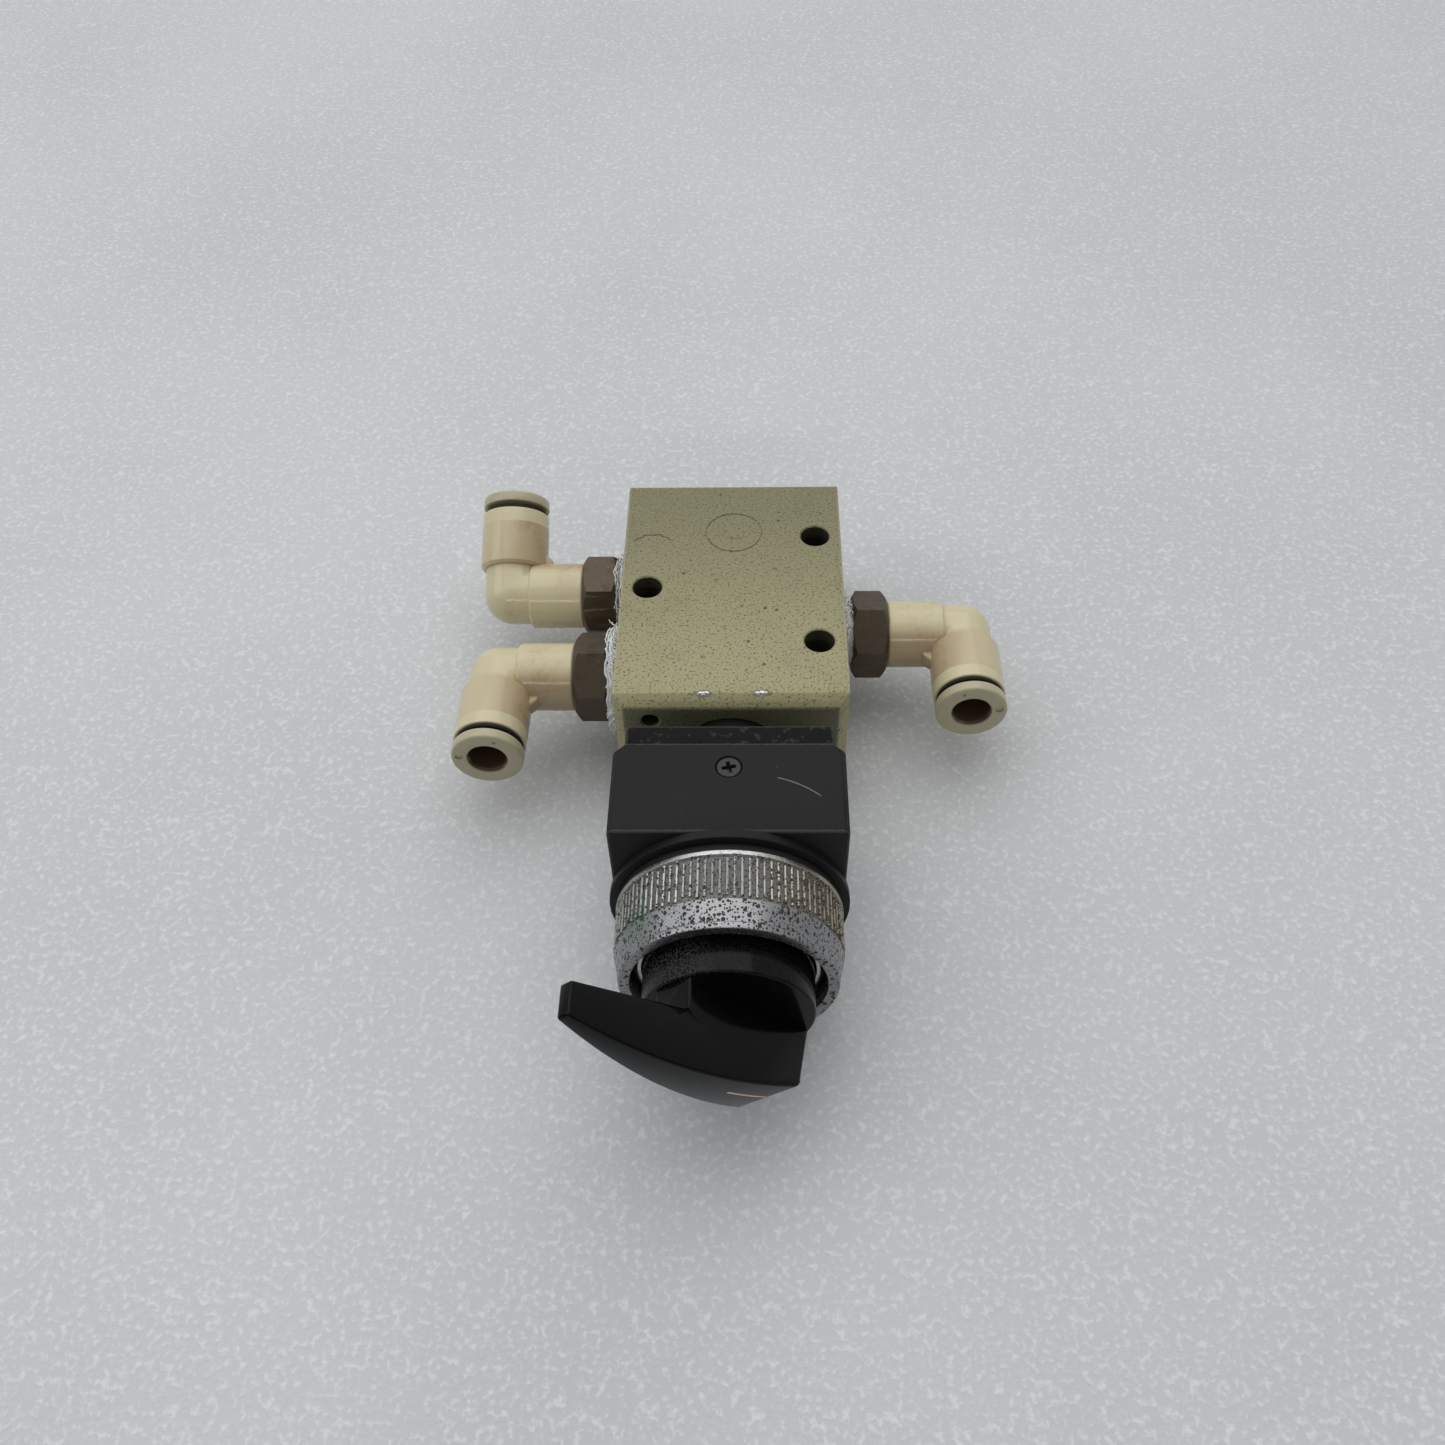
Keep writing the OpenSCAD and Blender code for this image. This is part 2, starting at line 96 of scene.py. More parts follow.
# %% [markdown]
# The camera stands in front of the knob, above it, and looks down at about fifty degrees. It is
# close, so near pieces look clearly larger than far ones. Its place is kept as plain numbers
# because it belongs to the view and not to the valve.

# %% Camera
CAMERA_PLACE = Vector((4.03, -173.35, 192.4)) * MM
CAMERA_TILT = radians(40.2)
CAMERA_HEADING = radians(2.15)
CAMERA_ROLL = radians(-1.75)
CAMERA_LENS = 33.28


def add_camera():
    data = bpy.data.cameras.new("camera")
    data.lens = CAMERA_LENS
    data.sensor_width = 36
    data.clip_start = 0.01
    camera = bpy.data.objects.new("camera", data)
    turn = (Matrix.Rotation(CAMERA_HEADING, 4, "Z") @ Matrix.Rotation(CAMERA_TILT, 4, "X")
            @ Matrix.Rotation(CAMERA_ROLL, 4, "Z"))
    camera.matrix_world = Matrix.Translation(CAMERA_PLACE) @ turn
    bpy.context.scene.collection.objects.link(camera)
    bpy.context.scene.camera = camera


add_camera()

# %% [markdown]
# The head hangs lower than the block, so the valve rests on the flange's lowest point and on the
# block's rear edge. The floor is a plane through those two contacts. Most of the light comes from a
# wide panel overhead. A narrow tube in front and two weak panels at the sides fill the shade.

# %% Floor and lights
rest_rear = Vector((0, block_hi.y, block_lo.z))
flange_front = gasket_hi.y
FLANGE_MIDDLE = 0.75 * MM
floor_slope = atan2(rest_rear.z - bushing_lo.z, rest_rear.y - (flange_front + FLANGE_MIDDLE))
FLOOR_SIZE = 2.4


def add_floor():
    mesh = bpy.data.meshes.new("floor")
    half = FLOOR_SIZE / 2
    corners = [Vector((sx * half, sy * half, 0)) for sx, sy in ((-1, -1), (1, -1), (1, 1), (-1, 1))]
    lean = Matrix.Translation(rest_rear) @ Matrix.Rotation(floor_slope, 4, "X")
    mesh.from_pydata([lean @ c for c in corners], [], [(0, 1, 2, 3)])
    floor = bpy.data.objects.new("floor", mesh)
    bpy.context.scene.collection.objects.link(floor)
    return floor


def add_area_light(name, place, target, size, power, tint=(1, 1, 1)):
    data = bpy.data.lights.new(name, "AREA")
    data.shape = "RECTANGLE"
    data.size = size[0]
    data.size_y = size[1]
    data.energy = power
    data.color = tint
    light = bpy.data.objects.new(name, data)
    light.location = place
    light.rotation_euler = (Vector(target) - Vector(place)).to_track_quat("-Z", "Y").to_euler()
    bpy.context.scene.collection.objects.link(light)
    return light


floor = add_floor()
add_area_light("ceiling", (-0.1, 0.35, 1.1), (0, -0.02, 0), (1.5, 1.2), 5.9)
add_area_light("tube", (-0.1, -1.05, 0.55), (0, -0.05, 0.02), (0.9, 0.05), 1.3)
add_area_light("window", (-0.9, -0.1, 0.6), (0, -0.02, 0), (0.5, 0.6), 1.3, (0.93, 0.97, 1.0))
add_area_light("bounce", (0.8, -0.5, 0.5), (0, -0.03, 0), (0.7, 0.5), 0.5, (1.0, 0.97, 0.93))
world = bpy.data.worlds.new("room")
bpy.context.scene.world = world
world.use_nodes = True
bpy.context.scene.view_settings.view_transform = "Standard"
print("floor slope, degrees:", round(floor_slope * 180 / pi, 2))

# %% [markdown]
# A few small tools carry the whole lesson. Turned parts are a half outline spun round an axis.
# Moulded and machined parts are plain solids joined and cut by booleans, whose edges then get a
# small bevel, because no real edge is perfectly sharp and the bevel is what catches the light.

# %% Helpers: meshes, fillets and turned parts
SMOOTH_ANGLE = radians(32)


def link_mesh(name, bm, place=Matrix.Identity(4)):
    bmesh.ops.remove_doubles(bm, verts=bm.verts, dist=1e-7)
    bmesh.ops.recalc_face_normals(bm, faces=bm.faces)
    bm.transform(place)
    mesh = bpy.data.meshes.new(name)
    bm.to_mesh(mesh)
    bm.free()
    if place.determinant() < 0:
        mesh.flip_normals()
    piece = bpy.data.objects.new(name, mesh)
    bpy.context.scene.collection.objects.link(piece)
    return piece


def shade(piece):
    piece.data.polygons.foreach_set("use_smooth", [True] * len(piece.data.polygons))
    piece.data.set_sharp_from_angle(angle=SMOOTH_ANGLE)
    piece.data.update()
    return piece


def filleted(outline, radius, steps=4):
    """Rounds the corners of a closed outline of (along, out) points, except those on the axis."""
    rounded = []
    count = len(outline)
    for i, corner in enumerate(outline):
        here = Vector(corner[:2])
        before = Vector(outline[i - 1][:2]) - here
        after = Vector(outline[(i + 1) % count][:2]) - here
        size = corner[2] if len(corner) > 2 else radius
        if here.y < 1e-9 or size == 0 or before.length == 0 or after.length == 0:
            rounded.append(here)
            continue
        angle = before.angle(after)
        reach = min(size / tan(angle / 2), 0.45 * before.length, 0.45 * after.length)
        start = here + before.normalized() * reach
        end = here + after.normalized() * reach
        for k in range(steps + 1):
            t = k / steps
            rounded.append(start * (1 - t) ** 2 + here * 2 * t * (1 - t) + end * t * t)
    return rounded


def turned(name, outline, place, fillet=0.2 * MM, turns=128):
    """Spins a closed outline of (along, out) points round the axis of place."""
    points = filleted(outline, fillet)
    bm = bmesh.new()
    rings = []
    for k in range(turns):
        a = 2 * pi * k / turns
        rings.append([bm.verts.new((p.y * cos(a), p.y * sin(a), p.x)) for p in points])
    for k in range(turns):
        near, far = rings[k], rings[(k + 1) % turns]
        for i in range(len(points)):
            j = (i + 1) % len(points)
            if points[i].y < 1e-9 and points[j].y < 1e-9:
                continue
            bm.faces.new((near[i], near[j], far[j], far[i]))
    bmesh.ops.remove_doubles(bm, verts=bm.verts, dist=1e-7)
    bmesh.ops.dissolve_degenerate(bm, edges=bm.edges, dist=1e-8)
    return shade(link_mesh(name, bm, place))


# %% Helpers: plain solids, booleans and soft edges
def mm(points):
    """Scales points given in millimetres."""
    return [tuple(value * MM for value in point) for point in points]


def rod(radius, start, end, radius_end=None, turns=96):
    start, end = Vector(start), Vector(end)
    bm = bmesh.new()
    bmesh.ops.create_cone(bm, cap_ends=True, segments=turns, radius1=radius,
                          radius2=radius if radius_end is None else radius_end,
                          depth=(end - start).length)
    turn = (end - start).to_track_quat("Z", "Y").to_matrix().to_4x4()
    return link_mesh("rod", bm, Matrix.Translation((start + end) / 2) @ turn)


def ball(radius, centre, squash=1.0):
    bm = bmesh.new()
    bmesh.ops.create_uvsphere(bm, u_segments=48, v_segments=24, radius=radius)
    return link_mesh("ball", bm, Matrix.Translation(centre) @ Matrix.Diagonal((1, 1, squash, 1)))


def hull(name, points):
    """The convex solid round some points, with its flat faces left whole."""
    bm = bmesh.new()
    for p in points:
        bm.verts.new(p)
    bmesh.ops.convex_hull(bm, input=bm.verts)
    bmesh.ops.dissolve_limit(bm, angle_limit=radians(0.5), verts=bm.verts, edges=bm.edges)
    return link_mesh(name, bm)


def box(lo, hi):
    xs, ys, zs = ((lo[i], hi[i]) for i in range(3))
    return hull("box", [(x, y, z) for x in xs for y in ys for z in zs])


def prism(outline, depth, place):
    """A flat outline pushed out to a thickness, centred on the outline's plane."""
    bm = bmesh.new()
    low = [bm.verts.new((x, y, -depth / 2)) for x, y in outline]
    high = [bm.verts.new((x, y, depth / 2)) for x, y in outline]
    bm.faces.new(low[::-1])
    bm.faces.new(high)
    for i in range(len(outline)):
        j = (i + 1) % len(outline)
        bm.faces.new((low[i], low[j], high[j], high[i]))
    return link_mesh("prism", bm, place)


def bake(piece):
    """Turns a piece's modifiers into plain mesh."""
    shown = piece.evaluated_get(bpy.context.evaluated_depsgraph_get())
    mesh = bpy.data.meshes.new_from_object(shown)
    piece.modifiers.clear()
    piece.data = mesh
    return piece


def combine(piece, other, operation="DIFFERENCE"):
    step = piece.modifiers.new("combine", "BOOLEAN")
    step.object = other
    step.operation = operation
    step.solver = "MANIFOLD"
    bake(piece)
    bpy.data.objects.remove(other)
    return piece


def in_triangles(piece):
    """Cuts every face into triangles, so that a boolean meets no face that is slightly bent."""
    bm = bmesh.new()
    bm.from_mesh(piece.data)
    bmesh.ops.triangulate(bm, faces=bm.faces)
    bm.to_mesh(piece.data)
    bm.free()
    return piece


def soften(piece, width, segments=2, angle=28, join=0.0, clamp=True):
    """Rounds the sharp edges, after the triangles of each flat face are joined again."""
    bm = bmesh.new()
    bm.from_mesh(piece.data)
    if join:
        bmesh.ops.remove_doubles(bm, verts=bm.verts, dist=join)
    bmesh.ops.dissolve_limit(bm, angle_limit=radians(0.3), verts=bm.verts, edges=bm.edges)
    bm.to_mesh(piece.data)
    bm.free()
    step = piece.modifiers.new("soften", "BEVEL")
    step.width = width
    step.segments = segments
    step.limit_method = "ANGLE"
    step.angle_limit = radians(angle)
    step.use_clamp_overlap = clamp
    step.miter_outer = "MITER_ARC"
    bake(piece)
    return shade(piece)


def settle(piece, node, material):
    """Gives a finished piece its material, its body and the node it stands for."""
    piece.name = node + "_skin"
    piece.data.name = piece.name
    piece.data.materials.clear()
    piece.data.materials.append(material)
    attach(piece, nodes[node]["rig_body"])
    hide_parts(node)
    print(piece.name, len(piece.data.polygons), "faces")
    return piece


slot_of = {part["node"]: part["material_slot"] for part in frame["record"]["subparts"]}

# %% [markdown]
# A finish is a node material. Most of these finishes share a few effects: specks, round pits, dirt
# that gathers in patches, and paint worn along an edge. Each effect is a node group, built once,
# which gives out a mask. Each material then uses the mask with its own sizes and colours.

# %% Helpers: nodes
def put(tree, kind, inputs=None, **settings):
    """Adds a node, sets it, and links or sets its inputs."""
    node = tree.nodes.new(kind)
    for key, value in settings.items():
        setattr(node, key, value)
    for key, value in (inputs or {}).items():
        if isinstance(value, bpy.types.NodeSocket):
            tree.links.new(value, node.inputs[key])
        else:
            node.inputs[key].default_value = value
    return node


def calc(tree, operation, a, b=0.5):
    return put(tree, "ShaderNodeMath", {0: a, 1: b}, operation=operation).outputs[0]


def folded(operation):
    """A helper that joins two or more numbers or sockets by one operation, from the left."""
    def joined(tree, first, *others):
        for value in others:
            first = calc(tree, operation, first, value)
        return first
    return joined


times, plus, minus, larger = (folded(name) for name in ("MULTIPLY", "ADD", "SUBTRACT", "MAXIMUM"))


def inverse(tree, value):
    return minus(tree, 1.0, value)


def vector(tree, operation, a, b=None):
    """One step of vector maths: a vector, or a number where the step gives one."""
    inputs = {0: a} if b is None else {0: a, 3 if operation == "SCALE" else 1: b}
    gives_number = operation in ("DISTANCE", "LENGTH", "DOT_PRODUCT")
    node = put(tree, "ShaderNodeVectorMath", inputs, operation=operation)
    return node.outputs[1 if gives_number else 0]


def xyz(tree, x=0.0, y=0.0, z=0.0):
    return put(tree, "ShaderNodeCombineXYZ", {0: x, 1: y, 2: z}).outputs[0]


def split(tree, value):
    return put(tree, "ShaderNodeSeparateXYZ", {0: value}).outputs


def step_up(tree, value, low, high):
    """0 below low, 1 above high, and a smooth change between them."""
    return put(tree, "ShaderNodeMapRange", {"Value": value, "From Min": low, "From Max": high},
               interpolation_type="SMOOTHSTEP").outputs[0]


def mix_colour(tree, mask, under, over):
    return put(tree, "ShaderNodeMix", {0: mask, 6: under, 7: over}, data_type="RGBA").outputs[2]


def tinted(tree, mask, amount, under, over):
    """Lays one colour over another through a mask that counts for this amount."""
    return mix_colour(tree, times(tree, mask, amount), under, over)


def noise(tree, place, scale, detail=3.0):
    return put(tree, "ShaderNodeTexNoise",
               {"Vector": place, "Scale": scale, "Detail": detail}).outputs[0]


def new_group(name, sockets):
    group = bpy.data.node_groups.new(name, "ShaderNodeTree")
    for label, value in sockets.items():
        kind = "NodeSocketVector" if isinstance(value, tuple) else "NodeSocketFloat"
        socket = group.interface.new_socket(label, in_out="INPUT", socket_type=kind)
        socket.default_value = value
    group.interface.new_socket("Mask", in_out="OUTPUT", socket_type="NodeSocketFloat")
    return group, put(group, "NodeGroupInput").outputs


def mask_of(tree, group, **inputs):
    named = {label.replace("_", " "): value for label, value in inputs.items()}
    return put(tree, "ShaderNodeGroup", named, node_tree=group).outputs["Mask"]


# %% Effect: specks, fine grains scattered all over
def build_specks():
    group, given = new_group("specks", {"Place": (0, 0, 0), "Grains per metre": 3000.0,
                                        "Share": 0.3, "Softness": 0.1})
    grain = noise(group, given["Place"], given["Grains per metre"], 2.0)
    cut = minus(group, 0.75, times(group, given["Share"], 0.5))
    mask = step_up(group, grain, cut, plus(group, cut, given["Softness"]))
    put(group, "NodeGroupOutput", {"Mask": mask})
    return group


# %% Effect: pits, round spots of several sizes with gaps between them
def build_pits():
    group, given = new_group("pits", {"Place": (0, 0, 0), "Cells per metre": 1000.0,
                                      "Share": 0.5, "Size": 0.3})
    cells = put(group, "ShaderNodeTexVoronoi",
                {"Vector": given["Place"], "Scale": given["Cells per metre"]})
    pick = put(group, "ShaderNodeSeparateColor", {0: cells.outputs["Color"]}).outputs
    chosen = calc(group, "LESS_THAN", pick[0], given["Share"])
    size = times(group, given["Size"], plus(group, 0.45, pick[1]))
    inside = step_up(group, minus(group, size, cells.outputs["Distance"]), 0.0, 0.09)
    put(group, "NodeGroupOutput", {"Mask": times(group, inside, chosen)})
    return group


# %% Effect: grime, dirt that gathers in cloudy patches
def build_grime():
    group, given = new_group("grime", {"Place": (0, 0, 0), "Patches per metre": 90.0,
                                       "Cover": 0.5, "Softness": 0.25})
    broad = noise(group, given["Place"], given["Patches per metre"], 5.0)
    fine = noise(group, given["Place"], times(group, given["Patches per metre"], 9.0))
    both = plus(group, times(group, broad, 0.75), times(group, fine, 0.25))
    cut = minus(group, 0.72, times(group, given["Cover"], 0.44))
    mask = step_up(group, both, cut, plus(group, cut, given["Softness"]))
    put(group, "NodeGroupOutput", {"Mask": mask})
    return group


# %% Effect: worn edges of a box, strongest within a set width of any edge and broken by noise
def build_box_edges():
    group, given = new_group("box edges", {"Place": (0, 0, 0), "Centre": (0, 0, 0),
                                           "Half size": (1, 1, 1), "Width": 0.0004})
    offset = vector(group, "SUBTRACT", given["Place"], given["Centre"])
    away = vector(group, "ABSOLUTE", offset)
    left = vector(group, "SUBTRACT", given["Half size"], away)
    a, b, c = split(group, left)
    second = larger(group, calc(group, "MINIMUM", a, b),
                    calc(group, "MINIMUM", larger(group, a, b), c))
    ragged = times(group, noise(group, given["Place"], 900.0), given["Width"])
    near = calc(group, "DIVIDE", minus(group, second, ragged), given["Width"])
    mask = inverse(group, step_up(group, near, 0.0, 0.6))
    put(group, "NodeGroupOutput", {"Mask": mask})
    return group


SPECKS, PITS, GRIME, BOX_EDGES = build_specks(), build_pits(), build_grime(), build_box_edges()
print("effects:", [g.name for g in bpy.data.node_groups])

# %% [markdown]
# The room is brighter behind the valve than in front of it. Glossy black shows this most: a face
# that looks forwards stays nearly black, and one that looks back or up picks up a grey sheen.

# %% The room's light
ROOM_DIM, ROOM_BRIGHT = (0.030, 0.031, 0.033, 1), (0.56, 0.57, 0.58, 1)
sky = world.node_tree
direction = put(sky, "ShaderNodeTexCoord").outputs["Generated"]
parts = split(sky, direction)
facing_back = plus(sky, parts[1], times(sky, parts[2], 0.7))
glow = mix_colour(sky, step_up(sky, facing_back, -0.7, 0.9), ROOM_DIM, ROOM_BRIGHT)
sky.links.new(glow, sky.nodes["Background"].inputs["Color"])

# %% [markdown]
# Each material starts from the same three things: the Principled shader, the object's own
# coordinates, and a bump that raises or sinks the surface by a real distance. A number that is the
# same all over goes straight on the shader.

# %% Helpers: materials
def new_material(name, roughness=0.5, metallic=0.0, coat=0.0):
    material = bpy.data.materials.new(name)
    material.use_nodes = True
    tree = material.node_tree
    shader = tree.nodes["Principled BSDF"]
    shader.inputs["Roughness"].default_value = roughness
    shader.inputs["Metallic"].default_value = metallic
    shader.inputs["Coat Weight"].default_value = coat
    place = put(tree, "ShaderNodeTexCoord").outputs["Object"]
    return material, tree, shader, place


def bump(tree, shader, height, depth, strength=1.0):
    node = put(tree, "ShaderNodeBump", {"Height": height, "Distance": depth, "Strength": strength})
    tree.links.new(node.outputs["Normal"], shader.inputs["Normal"])


def near_point(tree, place, point, radius):
    """A soft round mask round one point."""
    away = vector(tree, "DISTANCE", place, point)
    return inverse(tree, step_up(tree, away, radius * 0.6, radius))


# %% [markdown]
# The block is painted a dull khaki. The paint is slightly rough and carries fine dark specks with a
# few pits, and two knocks on the front top edge have gone through to bright metal. Knocks sit where
# a tool has slipped, so their places are given. Everything else is scattered by noise.

# %% Material: khaki paint on the block
HOLE_RADIUS = 2.6 * MM
HOLE_PLACES = mm([(15.25, 13.4), (15.25, -13.4), (-15.25, 0)])
SMALL_HOLES = [(-13.7 * MM, axis_z + 7.5 * MM), (13.7 * MM, axis_z - 7.5 * MM)]
FRONT_BEVEL = 2 * MM
nick_points = [Vector((x * MM, block_lo.y + FRONT_BEVEL, block_hi.z)) for x in (-4.7, 5.1)]


def near_line(tree, place, point, keep, radius, soft):
    """A mask round a straight line through a point: keep has a 0 for the line's own direction."""
    flat = vector(tree, "MULTIPLY", place, keep)
    spot = Vector(point) * Vector(keep)
    away = vector(tree, "DISTANCE", flat, spot)
    return step_up(tree, away, radius + soft, radius)


def make_block_coat():
    material, tree, shader, place = new_material("khaki_paint", roughness=0.55)
    parts = split(tree, place)
    # Painted light: the base colour goes from a darker khaki at the rear to a lighter one at the
    # front.
    forward = step_up(tree, parts[1], block_hi.y, block_lo.y)
    base = mix_colour(tree, forward, (0.226, 0.206, 0.110, 1), (0.405, 0.372, 0.200, 1))
    patch = mask_of(tree, GRIME, Place=place, Patches_per_metre=110.0, Cover=0.45, Softness=0.3)
    colour = tinted(tree, patch, 0.6, base, (0.175, 0.158, 0.088, 1))
    pale = mask_of(tree, SPECKS, Place=place, Grains_per_metre=3400.0, Share=0.38, Softness=0.12)
    colour = tinted(tree, pale, 0.45, colour, (0.60, 0.56, 0.35, 1))
    speck = mask_of(tree, SPECKS, Place=place, Grains_per_metre=2400.0, Share=0.36, Softness=0.10)
    colour = tinted(tree, speck, 0.75, colour, (0.105, 0.094, 0.052, 1))
    pit = mask_of(tree, PITS, Place=place, Cells_per_metre=380.0, Share=0.26, Size=0.14)
    colour = tinted(tree, pit, 0.85, colour, (0.05, 0.045, 0.028, 1))
    edge = mask_of(tree, BOX_EDGES, Place=place, Centre=tuple((block_lo + block_hi) / 2),
                   Half_size=tuple((block_hi - block_lo) / 2), Width=0.0004)
    colour = tinted(tree, edge, 0.30, colour, (0.58, 0.53, 0.36, 1))
    shaded = step_up(tree, parts[1], block_lo.y + 0.5 * MM, block_lo.y + 0.1 * MM)
    colour = tinted(tree, shaded, 0.7, colour, (0.075, 0.068, 0.035, 1))
    ragged = mask_of(tree, SPECKS, Place=place, Grains_per_metre=1500.0, Share=0.5, Softness=0.1)
    marks = []
    for point in nick_points:
        offset = vector(tree, "SUBTRACT", place, point)
        flat = vector(tree, "MULTIPLY", offset, (1, 2.4, 2.4))
        marks.append(vector(tree, "LENGTH", flat))
    away = plus(tree, calc(tree, "MINIMUM", *marks), times(tree, ragged, 0.35 * MM))
    bruise = step_up(tree, away, 1.9 * MM, 1.35 * MM)
    bare = step_up(tree, away, 1.25 * MM, 1.0 * MM)
    colour = tinted(tree, bruise, 0.7, colour, (0.10, 0.095, 0.08, 1))
    colour = mix_colour(tree, bare, colour, (0.62, 0.61, 0.60, 1))
    # Painted shade: the walls of the three through holes and of the two small front holes are made
    # nearly black.
    inside = [near_line(tree, place, (x, y, 0), (1, 1, 0), HOLE_RADIUS + 0.02 * MM, 0.12 * MM)
              for x, y in HOLE_PLACES]
    inside = larger(tree, *inside)
    small = [near_line(tree, place, (x, 0, z), (1, 0, 1), 1.5 * MM, 0.05 * MM)
             for x, z in SMALL_HOLES]
    small = times(tree, larger(tree, *small),
                  step_up(tree, parts[1], block_lo.y + 6 * MM, block_lo.y + 5.5 * MM))
    painted_hole_shade = larger(tree, inside, small)
    colour = tinted(tree, painted_hole_shade, 0.92, colour, (0.022, 0.017, 0.012, 1))
    tree.links.new(colour, shader.inputs["Base Color"])
    tree.links.new(bare, shader.inputs["Metallic"])
    rough = minus(tree, plus(tree, 0.52, times(tree, speck, 0.2)), times(tree, bare, 0.30))
    tree.links.new(rough, shader.inputs["Roughness"])
    depth = minus(tree, times(tree, pale, 0.5), plus(tree, times(tree, speck, 0.6), pit))
    bump(tree, shader, depth, 0.00008)
    return material


khaki_paint = make_block_coat()

# %% [markdown]
# Three blacks sit side by side on the head, and telling them apart is most of the likeness: the
# housing is matt and greyish with paler edges, the adapter behind it is darker and scuffed, and the
# knob is glossy, with dust that has settled where fingers don't reach. The flange is like the
# housing.

# %% Materials: matt black head, rubber, glossy knob
def scratch_mask(tree, place, start, end, width):
    """A hairline between two points of a flat top, with a slight bow and a broken edge."""
    start, end = Vector(start), Vector(end)
    way = (end - start).normalized()
    offset = vector(tree, "SUBTRACT", place, start)
    run = vector(tree, "DOT_PRODUCT", offset, way)
    aside = Vector((-way.y, way.x, 0))
    off = vector(tree, "DOT_PRODUCT", offset, aside)
    share = calc(tree, "DIVIDE", run, (end - start).length)
    lift = times(tree, share, inverse(tree, share), 2.0 * MM)
    gap = calc(tree, "ABSOLUTE", minus(tree, off, lift))
    line = step_up(tree, gap, width, width * 0.4)
    within = times(tree, step_up(tree, share, 0.0, 0.05), step_up(tree, share, 1.0, 0.9))
    broken = plus(tree, 0.35, noise(tree, place, 1400.0))
    return times(tree, line, within, broken)


GLOSS_PER_TONE = 14
ROUND_PIECE_MARGIN = 1.2


def make_head_black(name, lo, hi, scuffed=0.0, scratch=(), tone=0.013):
    """Matt black plastic for a square piece with corners lo and hi."""
    material, tree, shader, place = new_material(name, roughness=0.5)
    shader.inputs["Specular IOR Level"].default_value = GLOSS_PER_TONE * tone
    dust = mask_of(tree, GRIME, Place=place, Patches_per_metre=120.0, Cover=0.40, Softness=0.35)
    grain = noise(tree, place, 3500.0, 2.0)
    colour = tinted(tree, dust, 0.6, (tone, tone, tone, 1), (2.0 * tone, 1.9 * tone, 1.8 * tone, 1))
    edge = mask_of(tree, BOX_EDGES, Place=place, Centre=tuple((lo + hi) / 2),
                   Half_size=tuple((hi - lo) / 2), Width=0.00045)
    colour = tinted(tree, edge, 0.30, colour, (0.15, 0.145, 0.14, 1))
    scuff = mask_of(tree, SPECKS, Place=place, Grains_per_metre=750.0, Share=0.36, Softness=0.10)
    colour = tinted(tree, scuff, scuffed, colour, (0.16, 0.15, 0.14, 1))
    fleck = mask_of(tree, PITS, Place=place, Cells_per_metre=420.0, Share=0.12, Size=0.07)
    colour = tinted(tree, fleck, 0.4, colour, (0.20, 0.19, 0.17, 1))
    if scratch:
        colour = mix_colour(tree, scratch_mask(tree, place, *scratch), colour,
                            (0.24, 0.23, 0.21, 1))
    tree.links.new(colour, shader.inputs["Base Color"])
    tree.links.new(plus(tree, 0.42, times(tree, grain, 0.2)), shader.inputs["Roughness"])
    bump(tree, shader, grain, 0.00002)
    return material


def make_rubber():
    material, tree, shader, place = new_material("black_rubber", roughness=0.62)
    shader.inputs["Specular IOR Level"].default_value = 0.3
    dust = mask_of(tree, GRIME, Place=place, Patches_per_metre=200.0, Cover=0.4, Softness=0.3)
    tree.links.new(mix_colour(tree, dust, (0.010, 0.010, 0.011, 1), (0.022, 0.021, 0.020, 1)),
                   shader.inputs["Base Color"])
    bump(tree, shader, noise(tree, place, 2400.0), 0.00002)
    return material


def make_knob_black():
    material, tree, shader, place = new_material("glossy_black_plastic", roughness=0.2)
    shader.inputs["Specular IOR Level"].default_value = 0.14
    parts = split(tree, place)
    rear = step_up(tree, parts[1], nut_lo.y - 5.4 * MM, nut_lo.y - 4.4 * MM)
    left = step_up(tree, parts[0], -1 * MM, -7 * MM)
    dust = mask_of(tree, SPECKS, Place=place, Grains_per_metre=3200.0, Share=0.66, Softness=0.2)
    dust = times(tree, dust, times(tree, rear, plus(tree, 0.16, left)))
    smear = mask_of(tree, GRIME, Place=place, Patches_per_metre=110.0, Cover=0.30, Softness=0.4)
    colour = tinted(tree, smear, 0.6, (0.0030, 0.0030, 0.0034, 1), (0.010, 0.008, 0.007, 1))
    colour = tinted(tree, dust, 0.5, colour, (0.085, 0.08, 0.075, 1))
    speck = mask_of(tree, PITS, Place=place, Cells_per_metre=260.0, Share=0.16, Size=0.07)
    colour = tinted(tree, speck, 0.5, colour, (0.16, 0.14, 0.12, 1))
    tree.links.new(colour, shader.inputs["Base Color"])
    rough = plus(tree, 0.13, times(tree, smear, 0.10), times(tree, dust, 0.4))
    tree.links.new(rough, shader.inputs["Roughness"])
    bump(tree, shader, noise(tree, place, 700.0, 4.0), 0.00001)
    return material


scratch = ((7.3 * MM, -47.8 * MM, housing_hi.z), (14.3 * MM, -51.6 * MM, housing_hi.z), 0.12 * MM)
housing_black = make_head_black("housing_black", housing_lo, housing_hi, scratch=scratch)
adapter_black = make_head_black("adapter_black", adapter_lo, adapter_hi, 0.18, tone=0.007)
# The flange is round, so the box whose edges look worn is set larger than the flange.
bushing_black = make_head_black("bushing_black", bushing_lo * ROUND_PIECE_MARGIN,
                                bushing_hi * ROUND_PIECE_MARGIN)
black_rubber, knob_black = make_rubber(), make_knob_black()

# %% [markdown]
# The ring nut was bright chrome. Its plating has broken out in round black pits, brown has crept in
# on one side, a green spot has come up on the other, and the smooth band is the cleanest part.

